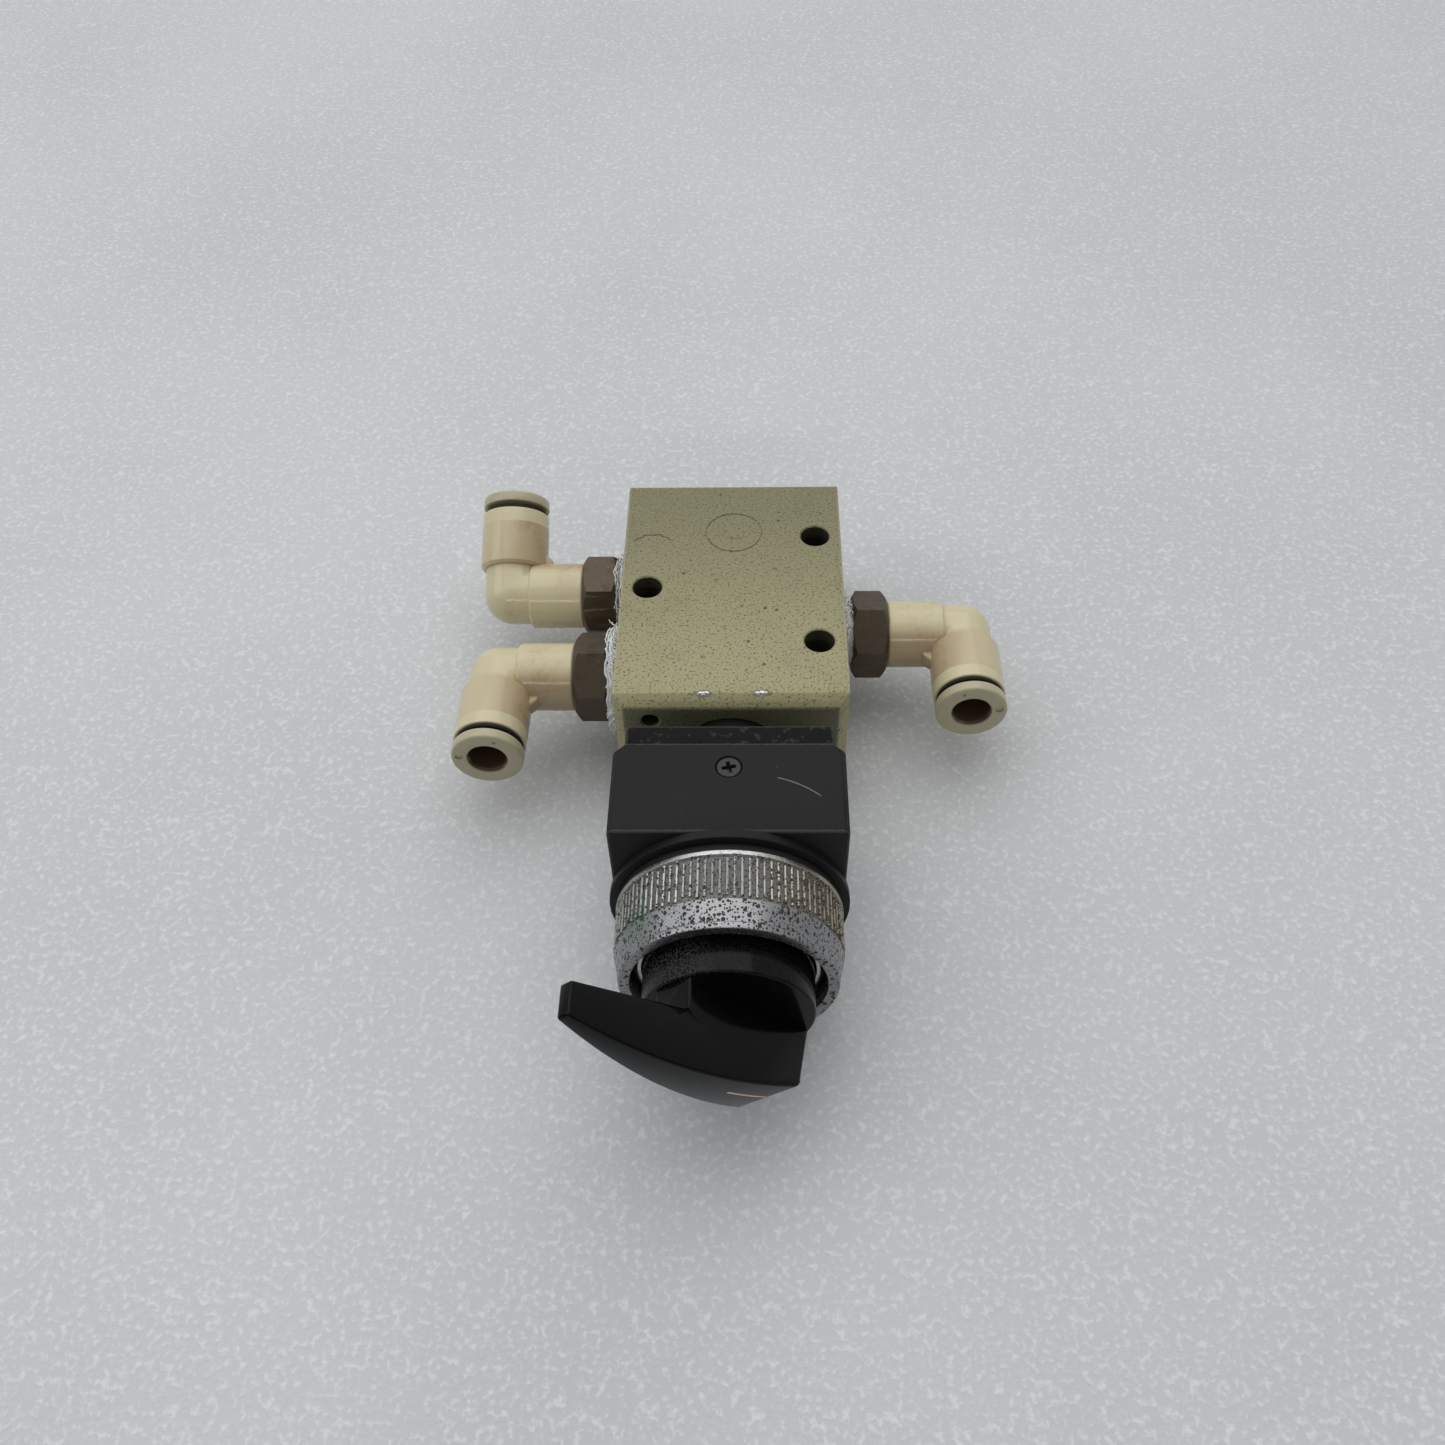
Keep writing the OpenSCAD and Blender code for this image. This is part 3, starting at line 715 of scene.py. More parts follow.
# %% Materials: pitted chrome, plain steels, aluminium
def make_chrome():
    material, tree, shader, place = new_material("pitted_chrome", metallic=1.0, roughness=0.2)
    parts = split(tree, place)
    knurl = step_up(tree, parts[1], nut_lo.y + 4.3 * MM, nut_lo.y + 4.9 * MM)
    crown = step_up(tree, parts[1], nut_hi.y - 0.9 * MM, nut_hi.y - 0.7 * MM)
    knurl = times(tree, knurl, inverse(tree, crown))
    right = step_up(tree, parts[0], 1 * MM, 15 * MM)
    left = step_up(tree, parts[0], -5 * MM, -16 * MM)
    clean = mix_colour(tree, right, (0.54, 0.54, 0.54, 1), (0.42, 0.375, 0.30, 1))
    clean = mix_colour(tree, left, clean, (0.42, 0.44, 0.40, 1))
    smooth = times(tree, inverse(tree, knurl), inverse(tree, crown))
    clean = mix_colour(tree, smooth, clean, (0.32, 0.32, 0.325, 1))
    haze = mask_of(tree, GRIME, Place=place, Patches_per_metre=350.0, Cover=0.45, Softness=0.3)
    colour = tinted(tree, haze, 0.35, clean, (0.30, 0.29, 0.26, 1))
    brown = mask_of(tree, GRIME, Place=place, Patches_per_metre=260.0, Cover=0.5, Softness=0.3)
    brown = times(tree, brown, times(tree, right, knurl))
    colour = tinted(tree, brown, 0.8, colour, (0.22, 0.155, 0.09, 1))
    big = mask_of(tree, PITS, Place=place, Cells_per_metre=1400.0, Share=0.72, Size=0.36)
    small = mask_of(tree, PITS, Place=place, Cells_per_metre=2700.0, Share=0.62, Size=0.40)
    pit = larger(tree, big, small)
    pit = times(tree, pit, inverse(tree, times(tree, crown, 0.85)))
    colour = tinted(tree, pit, 0.93, colour, (0.018, 0.016, 0.014, 1))
    sideways = times(tree, parts[0], parts[0])
    upwards = minus(tree, parts[2], axis_z)
    from_axis = calc(tree, "SQRT", plus(tree, sideways, times(tree, upwards, upwards)))
    valley = times(tree, knurl,
                   step_up(tree, from_axis, nut_hi.x - 0.12 * MM, nut_hi.x - 0.34 * MM))
    colour = tinted(tree, valley, 0.75, colour, (0.115, 0.105, 0.085, 1))
    spot = near_point(tree, place, (-13.4 * MM, nut_lo.y + 4.2 * MM, axis_z + 11.2 * MM), 3.4 * MM)
    green = times(tree, spot, plus(tree, 0.35, haze))
    colour = tinted(tree, green, 0.75, colour, (0.03, 0.15, 0.065, 1))
    tree.links.new(colour, shader.inputs["Base Color"])
    dull = larger(tree, pit, valley, larger(tree, green, brown))
    tree.links.new(inverse(tree, times(tree, dull, 0.8)), shader.inputs["Metallic"])
    rough = plus(tree, 0.32, times(tree, haze, 0.16),
                 plus(tree, times(tree, dull, 0.4), times(tree, knurl, 0.12)))
    tree.links.new(rough, shader.inputs["Roughness"])
    bump(tree, shader, minus(tree, haze, times(tree, pit, 2.0)), 0.00005)
    return material


def make_metal(name, clean, dirty, roughness, cover=0.4, metallic=1.0):
    """A plain metal with dirt in patches and a fine grain."""
    material, tree, shader, place = new_material(name, metallic=metallic)
    dirt = mask_of(tree, GRIME, Place=place, Patches_per_metre=260.0, Cover=cover, Softness=0.3)
    grain = noise(tree, place, 2800.0, 2.0)
    tree.links.new(mix_colour(tree, dirt, clean, dirty), shader.inputs["Base Color"])
    tree.links.new(plus(tree, roughness, times(tree, dirt, 0.22)), shader.inputs["Roughness"])
    bump(tree, shader, grain, 0.00001)
    return material


pitted_chrome = make_chrome()
bright_steel = make_metal("bright_steel", (0.60, 0.59, 0.57, 1), (0.33, 0.31, 0.28, 1), 0.24)
dark_steel = make_metal("blackened_steel", (0.035, 0.033, 0.032, 1), (0.10, 0.095, 0.088, 1), 0.36,
                        metallic=0.45)
spool_metal = make_metal("turned_aluminium", (0.78, 0.78, 0.79, 1), (0.5, 0.5, 0.5, 1), 0.25, 0.2)

# %% [markdown]
# The push-in fittings are ivory plastic that has yellowed and taken pinkish brown stains. Their
# marks follow each fitting rather than the whole valve, so each fitting's mesh carries an attribute
# with its own coordinates: out from the block, and along the leg. The stains read that attribute,
# and the fine noise reads plain object coordinates, so no two fittings are alike.

# %% Materials: ivory plastic, brown studs, tape, inlay
def leg_coordinates(tree):
    """Millimetres outwards from the block, and along the leg, on a fitting's piece."""
    node = put(tree, "ShaderNodeAttribute", attribute_name="port_place")
    return split(tree, node.outputs["Vector"])


def make_ivory(name, base, stain_amount):
    material, tree, shader, place = new_material(name, roughness=0.34)
    out, along, across = leg_coordinates(tree)
    cloud = mask_of(tree, GRIME, Place=place, Patches_per_metre=130.0, Cover=0.5, Softness=0.3)
    on_leg = step_up(tree, along, 3.0, 5.0)
    band = step_up(tree, along, 13.1, 13.4)
    inner = step_up(tree, out, 46.0, 37.0)
    stain = times(tree, plus(tree, 0.25, times(tree, inner, 0.75)),
                  times(tree, on_leg, inverse(tree, band)))
    stain = times(tree, stain, plus(tree, 0.5, times(tree, cloud, 0.5)))
    arm_stain = times(tree, cloud, inverse(tree, on_leg))
    stain = plus(tree, stain, times(tree, arm_stain, 0.45))
    colour = tinted(tree, stain, stain_amount, base, (0.33, 0.190, 0.100, 1))
    grey = mask_of(tree, GRIME, Place=place, Patches_per_metre=240.0, Cover=0.3, Softness=0.3)
    colour = tinted(tree, grey, 0.45, colour, (0.36, 0.32, 0.23, 1))
    dirt = mask_of(tree, PITS, Place=place, Cells_per_metre=520.0, Share=0.14, Size=0.12)
    colour = tinted(tree, dirt, 0.5, colour, (0.12, 0.09, 0.06, 1))
    # Painted shade: close round the leg's axis, inside the bore, the colour turns dark brown.
    beside = minus(tree, out, ELBOW_X / MM)
    from_axis = calc(tree, "SQRT",
                     plus(tree, times(tree, beside, beside), times(tree, across, across)))
    painted_bore_shade = times(tree, step_up(tree, from_axis, 3.75, 3.35), on_leg)
    colour = tinted(tree, painted_bore_shade, 0.93, colour, (0.075, 0.035, 0.02, 1))
    tree.links.new(colour, shader.inputs["Base Color"])
    tree.links.new(plus(tree, 0.17, times(tree, grey, 0.25)), shader.inputs["Roughness"])
    shader.inputs["Subsurface Weight"].default_value = 0.08
    shader.inputs["Subsurface Scale"].default_value = 0.0015
    bump(tree, shader, noise(tree, place, 600.0, 4.0), 0.00002)
    return material


def make_stud_metal():
    material, tree, shader, place = new_material("brown_stained_brass", metallic=0.65)
    dirt = mask_of(tree, GRIME, Place=place, Patches_per_metre=300.0, Cover=0.5, Softness=0.3)
    colour = mix_colour(tree, dirt, (0.098, 0.074, 0.050, 1), (0.042, 0.033, 0.025, 1))
    rub = mask_of(tree, SPECKS, Place=place, Grains_per_metre=1800.0, Share=0.25, Softness=0.1)
    colour = tinted(tree, rub, 0.4, colour, (0.22, 0.17, 0.12, 1))
    tree.links.new(colour, shader.inputs["Base Color"])
    tree.links.new(plus(tree, 0.42, times(tree, dirt, 0.2)), shader.inputs["Roughness"])
    bump(tree, shader, noise(tree, place, 1500.0), 0.00003)
    return material


def make_tape():
    material, tree, shader, place = new_material("white_sealing_tape", roughness=0.6)
    dirt = mask_of(tree, GRIME, Place=place, Patches_per_metre=500.0, Cover=0.35, Softness=0.3)
    tree.links.new(tinted(tree, dirt, 0.6, (0.90, 0.90, 0.90, 1), (0.50, 0.47, 0.42, 1)),
                   shader.inputs["Base Color"])
    shader.inputs["Subsurface Weight"].default_value = 0.1
    shader.inputs["Subsurface Scale"].default_value = 0.001
    bump(tree, shader, noise(tree, place, 2500.0), 0.00003)
    return material


def make_inlay():
    material, tree, shader, place = new_material("cream_inlay", roughness=0.5)
    dirt = mask_of(tree, GRIME, Place=place, Patches_per_metre=700.0, Cover=0.4, Softness=0.3)
    tree.links.new(mix_colour(tree, dirt, (0.80, 0.60, 0.47, 1), (0.55, 0.38, 0.28, 1)),
                   shader.inputs["Base Color"])
    bump(tree, shader, dirt, 0.00003)
    return material


ivory = make_ivory("ivory_plastic", (0.68, 0.60, 0.385, 1), 1.0)
# The release sleeves get a darker copy of the ivory with fewer stains; the darker base is painted
# shade, for sleeve faces that look forwards, away from the main light.
shade_darkened_ivory = make_ivory("ivory_collet_plastic", (0.50, 0.45, 0.30, 1), 0.25)
stud_metal, tape_white, inlay_cream = make_stud_metal(), make_tape(), make_inlay()
material_of = {"block_coat": khaki_paint, "black_plastic": housing_black,
               "knob_plastic": knob_black, "ring_chrome": pitted_chrome,
               "bright_steel": bright_steel, "dark_steel": dark_steel,
               "spool_aluminium": spool_metal, "stud_metal": stud_metal,
               "seal_rubber": black_rubber, "elbow_plastic": ivory, "release_plastic": shade_darkened_ivory,
               "inlay_cream": inlay_cream, "sealing_tape": tape_white}
print("materials:", sorted(material_of))

# %% [markdown]
# The block is machined from bar, so it starts as a plain solid with a bevel round its front face.
# Its outer edges are softened first, and the holes are cut afterwards with tools that flare at the
# mouth. That order keeps the small rounding off the hole rims, which get a countersink instead.

# %% Block: the solid and its softened edges
FLARE = 0.3 * MM
PORT_RADIUS, EXHAUST_RADIUS, SMALL_HOLE_RADIUS = 4.86 * MM, 2.5 * MM, 1.45 * MM
EXHAUST_Y = 21 * MM
SPOOL_BORE, COLLAR_BORE, PLUG_RADIUS = 5 * MM, 8 * MM, 7 * MM

lo, hi, cut = block_lo, block_hi, FRONT_BEVEL
corners = [(x, hi.y, z) for x in (lo.x, hi.x) for z in (lo.z, hi.z)]
corners += [(x, lo.y + cut, z) for x in (lo.x, hi.x) for z in (lo.z, hi.z)]
corners += [(x, lo.y, z) for x in (lo.x + cut, hi.x - cut) for z in (lo.z + cut, hi.z - cut)]
block = soften(hull("block", corners), 0.22 * MM)


def drill(radius, mouth, direction, depth, flare=FLARE):
    """A drill with a flared mouth, to be cut out of a piece."""
    direction = Vector(direction)
    over = 0.5 * MM
    outline = [(-depth, 0), (-depth, radius), (-flare, radius), (over, radius + flare + over),
               (over, 0)]
    turn = direction.to_track_quat("Z", "Y").to_matrix().to_4x4()
    return turned("drill", outline, Matrix.Translation(mouth) @ turn, fillet=0, turns=64)


# %% Block: holes through it, ports in its sides, bores along its axis
for x, y in HOLE_PLACES:
    wide = HOLE_RADIUS + FLARE + MM
    through = turned("through", [(lo.z - MM, 0), (lo.z - MM, wide), (lo.z + FLARE, HOLE_RADIUS),
                                 (hi.z - FLARE, HOLE_RADIUS), (hi.z + MM, wide), (hi.z + MM, 0)],
                     Matrix.Translation((x, y, 0)), fillet=0)
    block = combine(block, through)

PORT_SIDES = {"supply": 1, "rear": -1, "front": -1}
port_y = {}
for port, side in PORT_SIDES.items():
    stud_lo, stud_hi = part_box("stud_" + port)
    port_y[port] = (stud_lo.y + stud_hi.y) / 2
    mouth = (side * hi.x, port_y[port], axis_z)
    block = combine(block, drill(PORT_RADIUS, mouth, (side, 0, 0), 8.5 * MM))
for y in (-EXHAUST_Y, EXHAUST_Y):
    block = combine(block, drill(EXHAUST_RADIUS, (hi.x, y, axis_z), (1, 0, 0), 7 * MM))
    block = combine(block, rod(1.8 * MM, (0, y, axis_z), (14 * MM, y, axis_z), turns=48))
for x, z in SMALL_HOLES:
    block = combine(block, drill(SMALL_HOLE_RADIUS, (x, lo.y, z), (0, -1, 0), 5 * MM, 0.35 * MM))
block = combine(block, drill(COLLAR_BORE, (0, lo.y, axis_z), (0, -1, 0), 4 * MM))
block = combine(block, drill(PLUG_RADIUS, (0, hi.y, axis_z), (0, 1, 0), 3.3 * MM))
block = combine(block, rod(SPOOL_BORE, (0, lo.y, axis_z), (0, hi.y, axis_z)))
block = combine(block, rod(7.6 * MM, (0, hi.y - 1.3 * MM, axis_z), (0, hi.y - 0.3 * MM, axis_z)))
print("ports at y, mm:", {port: round(y / MM, 1) for port, y in port_y.items()})

# %% [markdown]
# The marks on top are shallow: a thin ring with a low boss in its middle, and a flat arch. They are
# cut as geometry, because light from behind shades their far side and that shade is how they show.
# A few deep pits are cut too. Their places are a fixed list, so every run gives the same.

# %% Block: marks, pits and knocks on the top face
MARK_DEPTH = 0.16 * MM
ring_place = Matrix.Translation((0.2 * MM, 14.4 * MM, hi.z))
ring_tool = turned("mark", [(-MARK_DEPTH, 5.02 * MM), (-MARK_DEPTH, 5.3 * MM),
                            (MM, 5.5 * MM), (MM, 4.8 * MM)], ring_place, fillet=0)
boss = ball(2.0 * MM, ring_place @ Vector((0, 0, -0.05 * MM)), 0.17)
block = combine(combine(block, boss, "UNION"), ring_tool)

arch_outer = [(-3.5, -1.3), (-2.9, -0.7), (-2.0, -0.35), (-1.7, 0.3), (0, 0.3), (1.5, 0.4),
              (2.0, -0.1), (2.9, -0.5), (3.5, -1.3)]
arch_inner = [(3.1, -1.35), (2.6, -0.85), (1.7, -0.5), (1.3, 0.05), (0, -0.05), (-1.4, -0.05),
              (-1.75, -0.7), (-2.6, -1.0), (-3.15, -1.5)]
arch = [(x * MM, y * MM) for x, y in arch_outer + arch_inner][::-1]
arch_place = Matrix.Translation((-14.9 * MM, 13.6 * MM, hi.z + MM - MARK_DEPTH))
block = combine(block, prism(arch, 2 * MM, arch_place))

pit_spots = [(-3.6, 3.1), (-2.9, 1.6), (7.8, 4.4), (1.8, -5.2), (16.4, -8.6), (-11.4, -3.6),
             (-1.2, -10.1), (12.8, -15.3), (5.3, -13.2), (-8.7, 3.4), (10.4, -21.6), (2.6, -20.5),
             (-4.8, -17.4), (-17.3, -20.4)]
for k, (x, y) in enumerate(pit_spots):
    size = (0.30 + 0.13 * ((k * 7) % 5) / 4) * MM
    block = combine(block, ball(size, (x * MM, y * MM, hi.z + 0.1 * MM), 0.9))
for point in nick_points:
    block = combine(block, ball(1.5 * MM, point + Vector((0, -0.35 * MM, 0.85 * MM)), 0.6))
shade(block)
settle(block, "valve_block", khaki_paint)

# %% [markdown]
# A snap ring holds the plug in the block's rear end. Both are seen only from behind, and they are
# turned like the real ones: the plug with a dished face, and the ring open at the bottom.

# %% Rear plug and snap ring
plug_lo, plug_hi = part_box("rear_plug")
clip_lo, clip_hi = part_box("rear_clip")
start, end = plug_lo.y, plug_hi.y
plug = turned("plug", [(start, 3.3 * MM), (start, 7 * MM), (start + 0.3 * MM, 7 * MM),
                       (start + 0.3 * MM, 5.9 * MM), (start + 1.4 * MM, 5.9 * MM),
                       (start + 1.4 * MM, 7 * MM), (end, 7 * MM), (end, 4.6 * MM),
                       (end - 0.5 * MM, 4.1 * MM), (end - 0.5 * MM, 0),
                       (start + 1.2 * MM, 0), (start + 1.2 * MM, 3.3 * MM)],
              AXIS, fillet=0.12 * MM)
settle(plug, "rear_plug", dark_steel)
snap = turned("snap", [(clip_lo.y, 5.6 * MM), (clip_lo.y, 7.55 * MM), (clip_hi.y, 7.55 * MM),
                       (clip_hi.y, 5.6 * MM)], AXIS, fillet=0.1 * MM)
snap = combine(snap, box((-1.5 * MM, clip_lo.y - MM, 0), (1.5 * MM, clip_hi.y + MM, axis_z)))
for side in (-1, 1):
    lug_spot = Vector((side * 2.5 * MM, clip_lo.y + 0.05 * MM, axis_z - 5.7 * MM))
    lug = rod(1.0 * MM, lug_spot, lug_spot + Vector((0, 0.8 * MM, 0)), turns=32)
    lug = combine(lug, rod(0.45 * MM, lug_spot - Vector((0, MM, 0)),
                           lug_spot + Vector((0, 2 * MM, 0)), turns=24))
    snap = combine(snap, lug, "UNION")
settle(shade(snap), "rear_clip", bright_steel)

# %% [markdown]
# The head is two squares in a stack. The adapter is the smaller one and is chipped along its step.
# The housing has its rear corners cut off, and one countersunk screw in its top holds the two
# together. Moulded edges get a slightly larger rounding than machined ones.

# %% Adapter plate and housing
SPIGOT_RADIUS = 12.5 * MM
screw_lo, screw_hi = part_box("head_screw")
screw_y = (screw_lo.y + screw_hi.y) / 2
plate_front = housing_hi.y
adapter = soften(box((adapter_lo.x, plate_front, adapter_lo.z), adapter_hi), 0.35 * MM, 3)
for x in (-4.9, 4.4):
    for k, slip in enumerate((-0.7, 0.2, 0.9)):
        spot = Vector(((x + slip) * MM, plate_front + (0.9 + 0.3 * k) * MM, adapter_hi.z
                       + 0.35 * MM))
        adapter = combine(adapter, ball((0.6 - 0.08 * k) * MM, spot, 0.9))
adapter = combine(adapter, rod(SPIGOT_RADIUS, (0, adapter_lo.y, axis_z),
                               (0, adapter_hi.y - MM, axis_z)), "UNION")
adapter = combine(adapter, rod(8.2 * MM, (0, adapter_lo.y - MM, axis_z),
                               (0, adapter_hi.y - 2.4 * MM, axis_z)))
adapter = combine(adapter, rod(8 * MM, (0, adapter_lo.y, axis_z), (0, adapter_hi.y + MM, axis_z)))
settle(shade(adapter), "head_adapter", adapter_black)

REAR_CUT, LONG_CUT = 1.5 * MM, 0.75 * MM
half = housing_hi.x
corners = []
for sx in (-1, 1):
    for a, b in ((half, half - LONG_CUT), (half - LONG_CUT, half)):
        for sz in (-1, 1):
            corners.append((sx * a, housing_lo.y, axis_z + sz * b))
            corners.append((sx * a, housing_hi.y - 1.4 * MM, axis_z + sz * b))
            corners.append((sx * (a - REAR_CUT), housing_hi.y, axis_z + sz * b))
housing = soften(hull("housing", corners), 0.25 * MM, 3, 20)
housing = combine(housing, rod(12.52 * MM, (0, housing_lo.y - MM, axis_z),
                               (0, housing_hi.y + MM, axis_z), turns=128))
sink = turned("sink", [(-20 * MM, 0), (-20 * MM, 1.5 * MM), (-1.5 * MM, 1.5 * MM),
                       (-0.2 * MM, 2.05 * MM), (0.05 * MM, 2.2 * MM), (MM, 2.2 * MM), (MM, 0)],
              Matrix.Translation((0, screw_y, housing_hi.z)), fillet=0)
housing = combine(housing, sink)
settle(shade(housing), "head_housing", housing_black)

# %% [markdown]
# The screw's cross recess is four tapered wings round a pointed middle. It is cut with two tapered
# bars set square to each other, and the rim of the head is slightly rounded by the driver's slips.

# %% Head screw
top = screw_hi.z
screw = turned("screw", [(screw_lo.z, 0), (screw_lo.z, 1.5 * MM), (top - 1.45 * MM, 1.5 * MM),
                         (top - 0.16 * MM, 1.95 * MM), (top, 1.8 * MM), (top - 0.06 * MM, 0)],
               Matrix.Translation((0, screw_y, 0)), fillet=0.08 * MM, turns=64)
wing = [(0.34, 1.2, 0.1), (0.34, 1.08, 0), (0.2, 0.6, -1.2)]
for angle in (12, 102):
    points = [(sx * w * MM, sy * r * MM, d * MM) for w, r, d in wing
              for sx in (-1, 1) for sy in (-1, 1)]
    bar = hull("wing", points)
    bar.data.transform(Matrix.Translation((0, screw_y, top))
                       @ Matrix.Rotation(radians(angle), 4, "Z"))
    screw = combine(screw, bar)
settle(shade(screw), "head_screw", dark_steel)

# %% [markdown]
# Everything round on the valve's axis is turned: half an outline, as places along the axis and
# radii in millimetres, with its corners rounded, is spun a full turn. The flange and gasket show
# as two black discs with thin bright edges, and it is the rounding that makes those edges.

# %% Collar, bushing, gasket and sleeve
def along(values):
    return [(a, r * MM) for a, r in values]


collar = turned("collar", along([(collar_lo.y, 3.05), (collar_lo.y, 8), (collar_hi.y, 8),
                                 (collar_hi.y, 3.05), (block_lo.y - 2.8 * MM, 3.05),
                                 (block_lo.y - 2.8 * MM, 4.4), (block_lo.y - 4.2 * MM, 4.4),
                                 (block_lo.y - 4.2 * MM, 3.05)]), AXIS, fillet=0.3 * MM)
settle(collar, "guide_collar", bushing_black)

face = housing_lo.y
web_rear, web_front = face + 3.5 * MM, face - 3 * MM
tube_front = bushing_lo.y
ridges = []
for k in range(9):
    at = flange_front - (1.2 + k) * MM
    ridges += [(at, 15.0), (at - 0.35 * MM, 14.72), (at - 0.65 * MM, 14.72)]
bushing = turned("bushing", along([(web_rear, 5.05), (web_rear, 12.5), (face, 12.5),
                                   (face, bushing_hi.x / MM), (flange_front, bushing_hi.x / MM),
                                   (flange_front, 15)] + ridges +
                                  [(tube_front, 14.75), (tube_front, 14.1), (web_front, 14.1),
                                   (web_front, 5.05)]), AXIS, fillet=0.18 * MM)
settle(bushing, "panel_bushing", bushing_black)
gasket = turned("gasket", along([(gasket_lo.y, 15.02), (gasket_lo.y, gasket_hi.x / MM),
                                 (gasket_hi.y, gasket_hi.x / MM), (gasket_hi.y, 15.02)]),
                AXIS, fillet=0.35 * MM)
settle(gasket, "panel_gasket", black_rubber)
lip = sleeve_lo.y
sleeve = turned("sleeve", along([(lip, 13.25), (lip, 14.1), (sleeve_hi.y, 14.1),
                                 (sleeve_hi.y, 13.15), (lip + 0.8 * MM, 13.15)]),
                AXIS, fillet=0.25 * MM)
settle(sleeve, "bezel_sleeve", bright_steel)

# %% [markdown]
# The ring nut is a turned ring with about a hundred straight ridges. Ridges repeat by a rule, so
# Geometry Nodes place them: a circle gives one point for each ridge, each point gets a ridge turned
# to face out, and a seeded random width and height makes them look worn. The same tree makes the
# ring of steel teeth that grips the tube inside each fitting.

# %% Geometry Nodes: a ring of ridges
RING_INPUTS = {"Count": ("Int", 100), "Ring radius": ("Float", 0.0177),
               "Ridge width": ("Float", 0.0006),
               "Ridge length": ("Float", 0.0071),
               "Ridge height": ("Float", 0.0003),
               "Start": ("Float", 0.0), "Lean": ("Float", 0.0),
               "Wear": ("Float", 0.2), "Seed": ("Int", 4),
               "Finish": ("Material", None)}


def new_growth(name, core, inputs):
    """An empty Geometry Nodes tree that takes a piece and these named inputs, and gives a piece."""
    tree = bpy.data.node_groups.new(name, "GeometryNodeTree")
    sockets = tree.interface
    sockets.new_socket(core, in_out="INPUT", socket_type="NodeSocketGeometry")
    for label, (kind, value) in inputs.items():
        socket = sockets.new_socket(label, in_out="INPUT", socket_type="NodeSocket" + kind)
        if value is not None:
            socket.default_value = value
    sockets.new_socket("Result", in_out="OUTPUT", socket_type="NodeSocketGeometry")
    return tree, put(tree, "NodeGroupInput").outputs


def join_geometry(tree, *parts):
    joined = put(tree, "GeometryNodeJoinGeometry")
    for part in parts:
        tree.links.new(part, joined.inputs[0])
    return joined.outputs[0]


def build_ridge_ring():
    tree, given = new_growth("ridge ring", "Ring", RING_INPUTS)
    circle = put(tree, "GeometryNodeMeshCircle", {"Vertices": given["Count"],
                                                  "Radius": given["Ring radius"]}).outputs[0]
    index = put(tree, "GeometryNodeInputIndex").outputs[0]
    share = calc(tree, "DIVIDE", index, given["Count"])
    around = times(tree, share, 2 * pi)
    turn = put(tree, "FunctionNodeAxesToRotation",
               {0: xyz(tree, calc(tree, "COSINE", around), calc(tree, "SINE", around)),
                1: xyz(tree, times(tree, given["Lean"], calc(tree, "COSINE", around)),
                       times(tree, given["Lean"], calc(tree, "SINE", around)), 1.0)},
               primary_axis="X", secondary_axis="Z").outputs[0]
    ridge = put(tree, "GeometryNodeMeshCylinder",
                {"Vertices": 8, "Radius": 0.5, "Depth": 1.0}).outputs[0]
    size = xyz(tree, times(tree, given["Ridge height"], 2.0), given["Ridge width"],
               given["Ridge length"])
    shrink = put(tree, "FunctionNodeRandomValue",
                 {2: inverse(tree, given["Wear"]), 3: 1.0, "Seed": given["Seed"]},
                 data_type="FLOAT").outputs[1]
    scale = vector(tree, "SCALE", size, shrink)
    placed = put(tree, "GeometryNodeInstanceOnPoints",
                 {"Points": circle, "Instance": ridge, "Rotation": turn, "Scale": scale}).outputs[0]
    lift = xyz(tree, z=given["Start"])
    moved = put(tree, "GeometryNodeTranslateInstances",
                {"Instances": placed, "Translation": lift, "Local Space": False}).outputs[0]
    plain = put(tree, "GeometryNodeRealizeInstances", {0: moved}).outputs[0]
    joined = join_geometry(tree, plain, given["Ring"])
    finished = put(tree, "GeometryNodeSetMaterial",
                   {"Geometry": joined, "Material": given["Finish"]}).outputs[0]
    put(tree, "NodeGroupOutput", {0: finished})
    return tree


def grow(piece, tree, values):
    """Runs a node tree on a piece with these inputs, and turns the result into plain mesh."""
    modifier = piece.modifiers.new("grow", "NODES")
    modifier.node_group = tree
    named = {item.name: item.identifier for item in tree.interface.items_tree
             if item.item_type == "SOCKET" and item.in_out == "INPUT"}
    for label, value in values.items():
        modifier[named[label]] = value
    return bake(piece)


RIDGE_RING = build_ridge_ring()

# %% Ring nut
nut_front, nut_rear = nut_lo.y, nut_hi.y
NUT_RADIUS = nut_hi.x / MM
band_end = nut_front + 4.6 * MM
nut = turned("nut", along([(nut_front, 15.02), (nut_front, NUT_RADIUS - 1.1),
                           (nut_front + 0.9 * MM, NUT_RADIUS - 0.92),
                           (nut_front + 1.1 * MM, NUT_RADIUS - 1.0),
                           (band_end - 0.2 * MM, NUT_RADIUS - 0.2),
                           (band_end + 0.1 * MM, NUT_RADIUS - 0.45),
                           (nut_rear - 1.0 * MM, NUT_RADIUS - 0.45),
                           (nut_rear - 0.8 * MM, NUT_RADIUS), (nut_rear, NUT_RADIUS),
                           (nut_rear, 15.02)]), Matrix.Identity(4), fillet=0.15 * MM, turns=200)
knurl_length = nut_rear - 0.9 * MM - band_end
nut = grow(nut, RIDGE_RING, {"Count": 100, "Ring radius": (NUT_RADIUS - 0.46) * MM,
                             "Ridge width": 0.58 * MM, "Ridge length": knurl_length,
                             "Ridge height": 0.42 * MM, "Start": band_end + knurl_length / 2,
                             "Wear": 0.22, "Seed": 4, "Finish": pitted_chrome})
nut.data.transform(AXIS)
settle(shade(nut), "ring_nut", pitted_chrome)

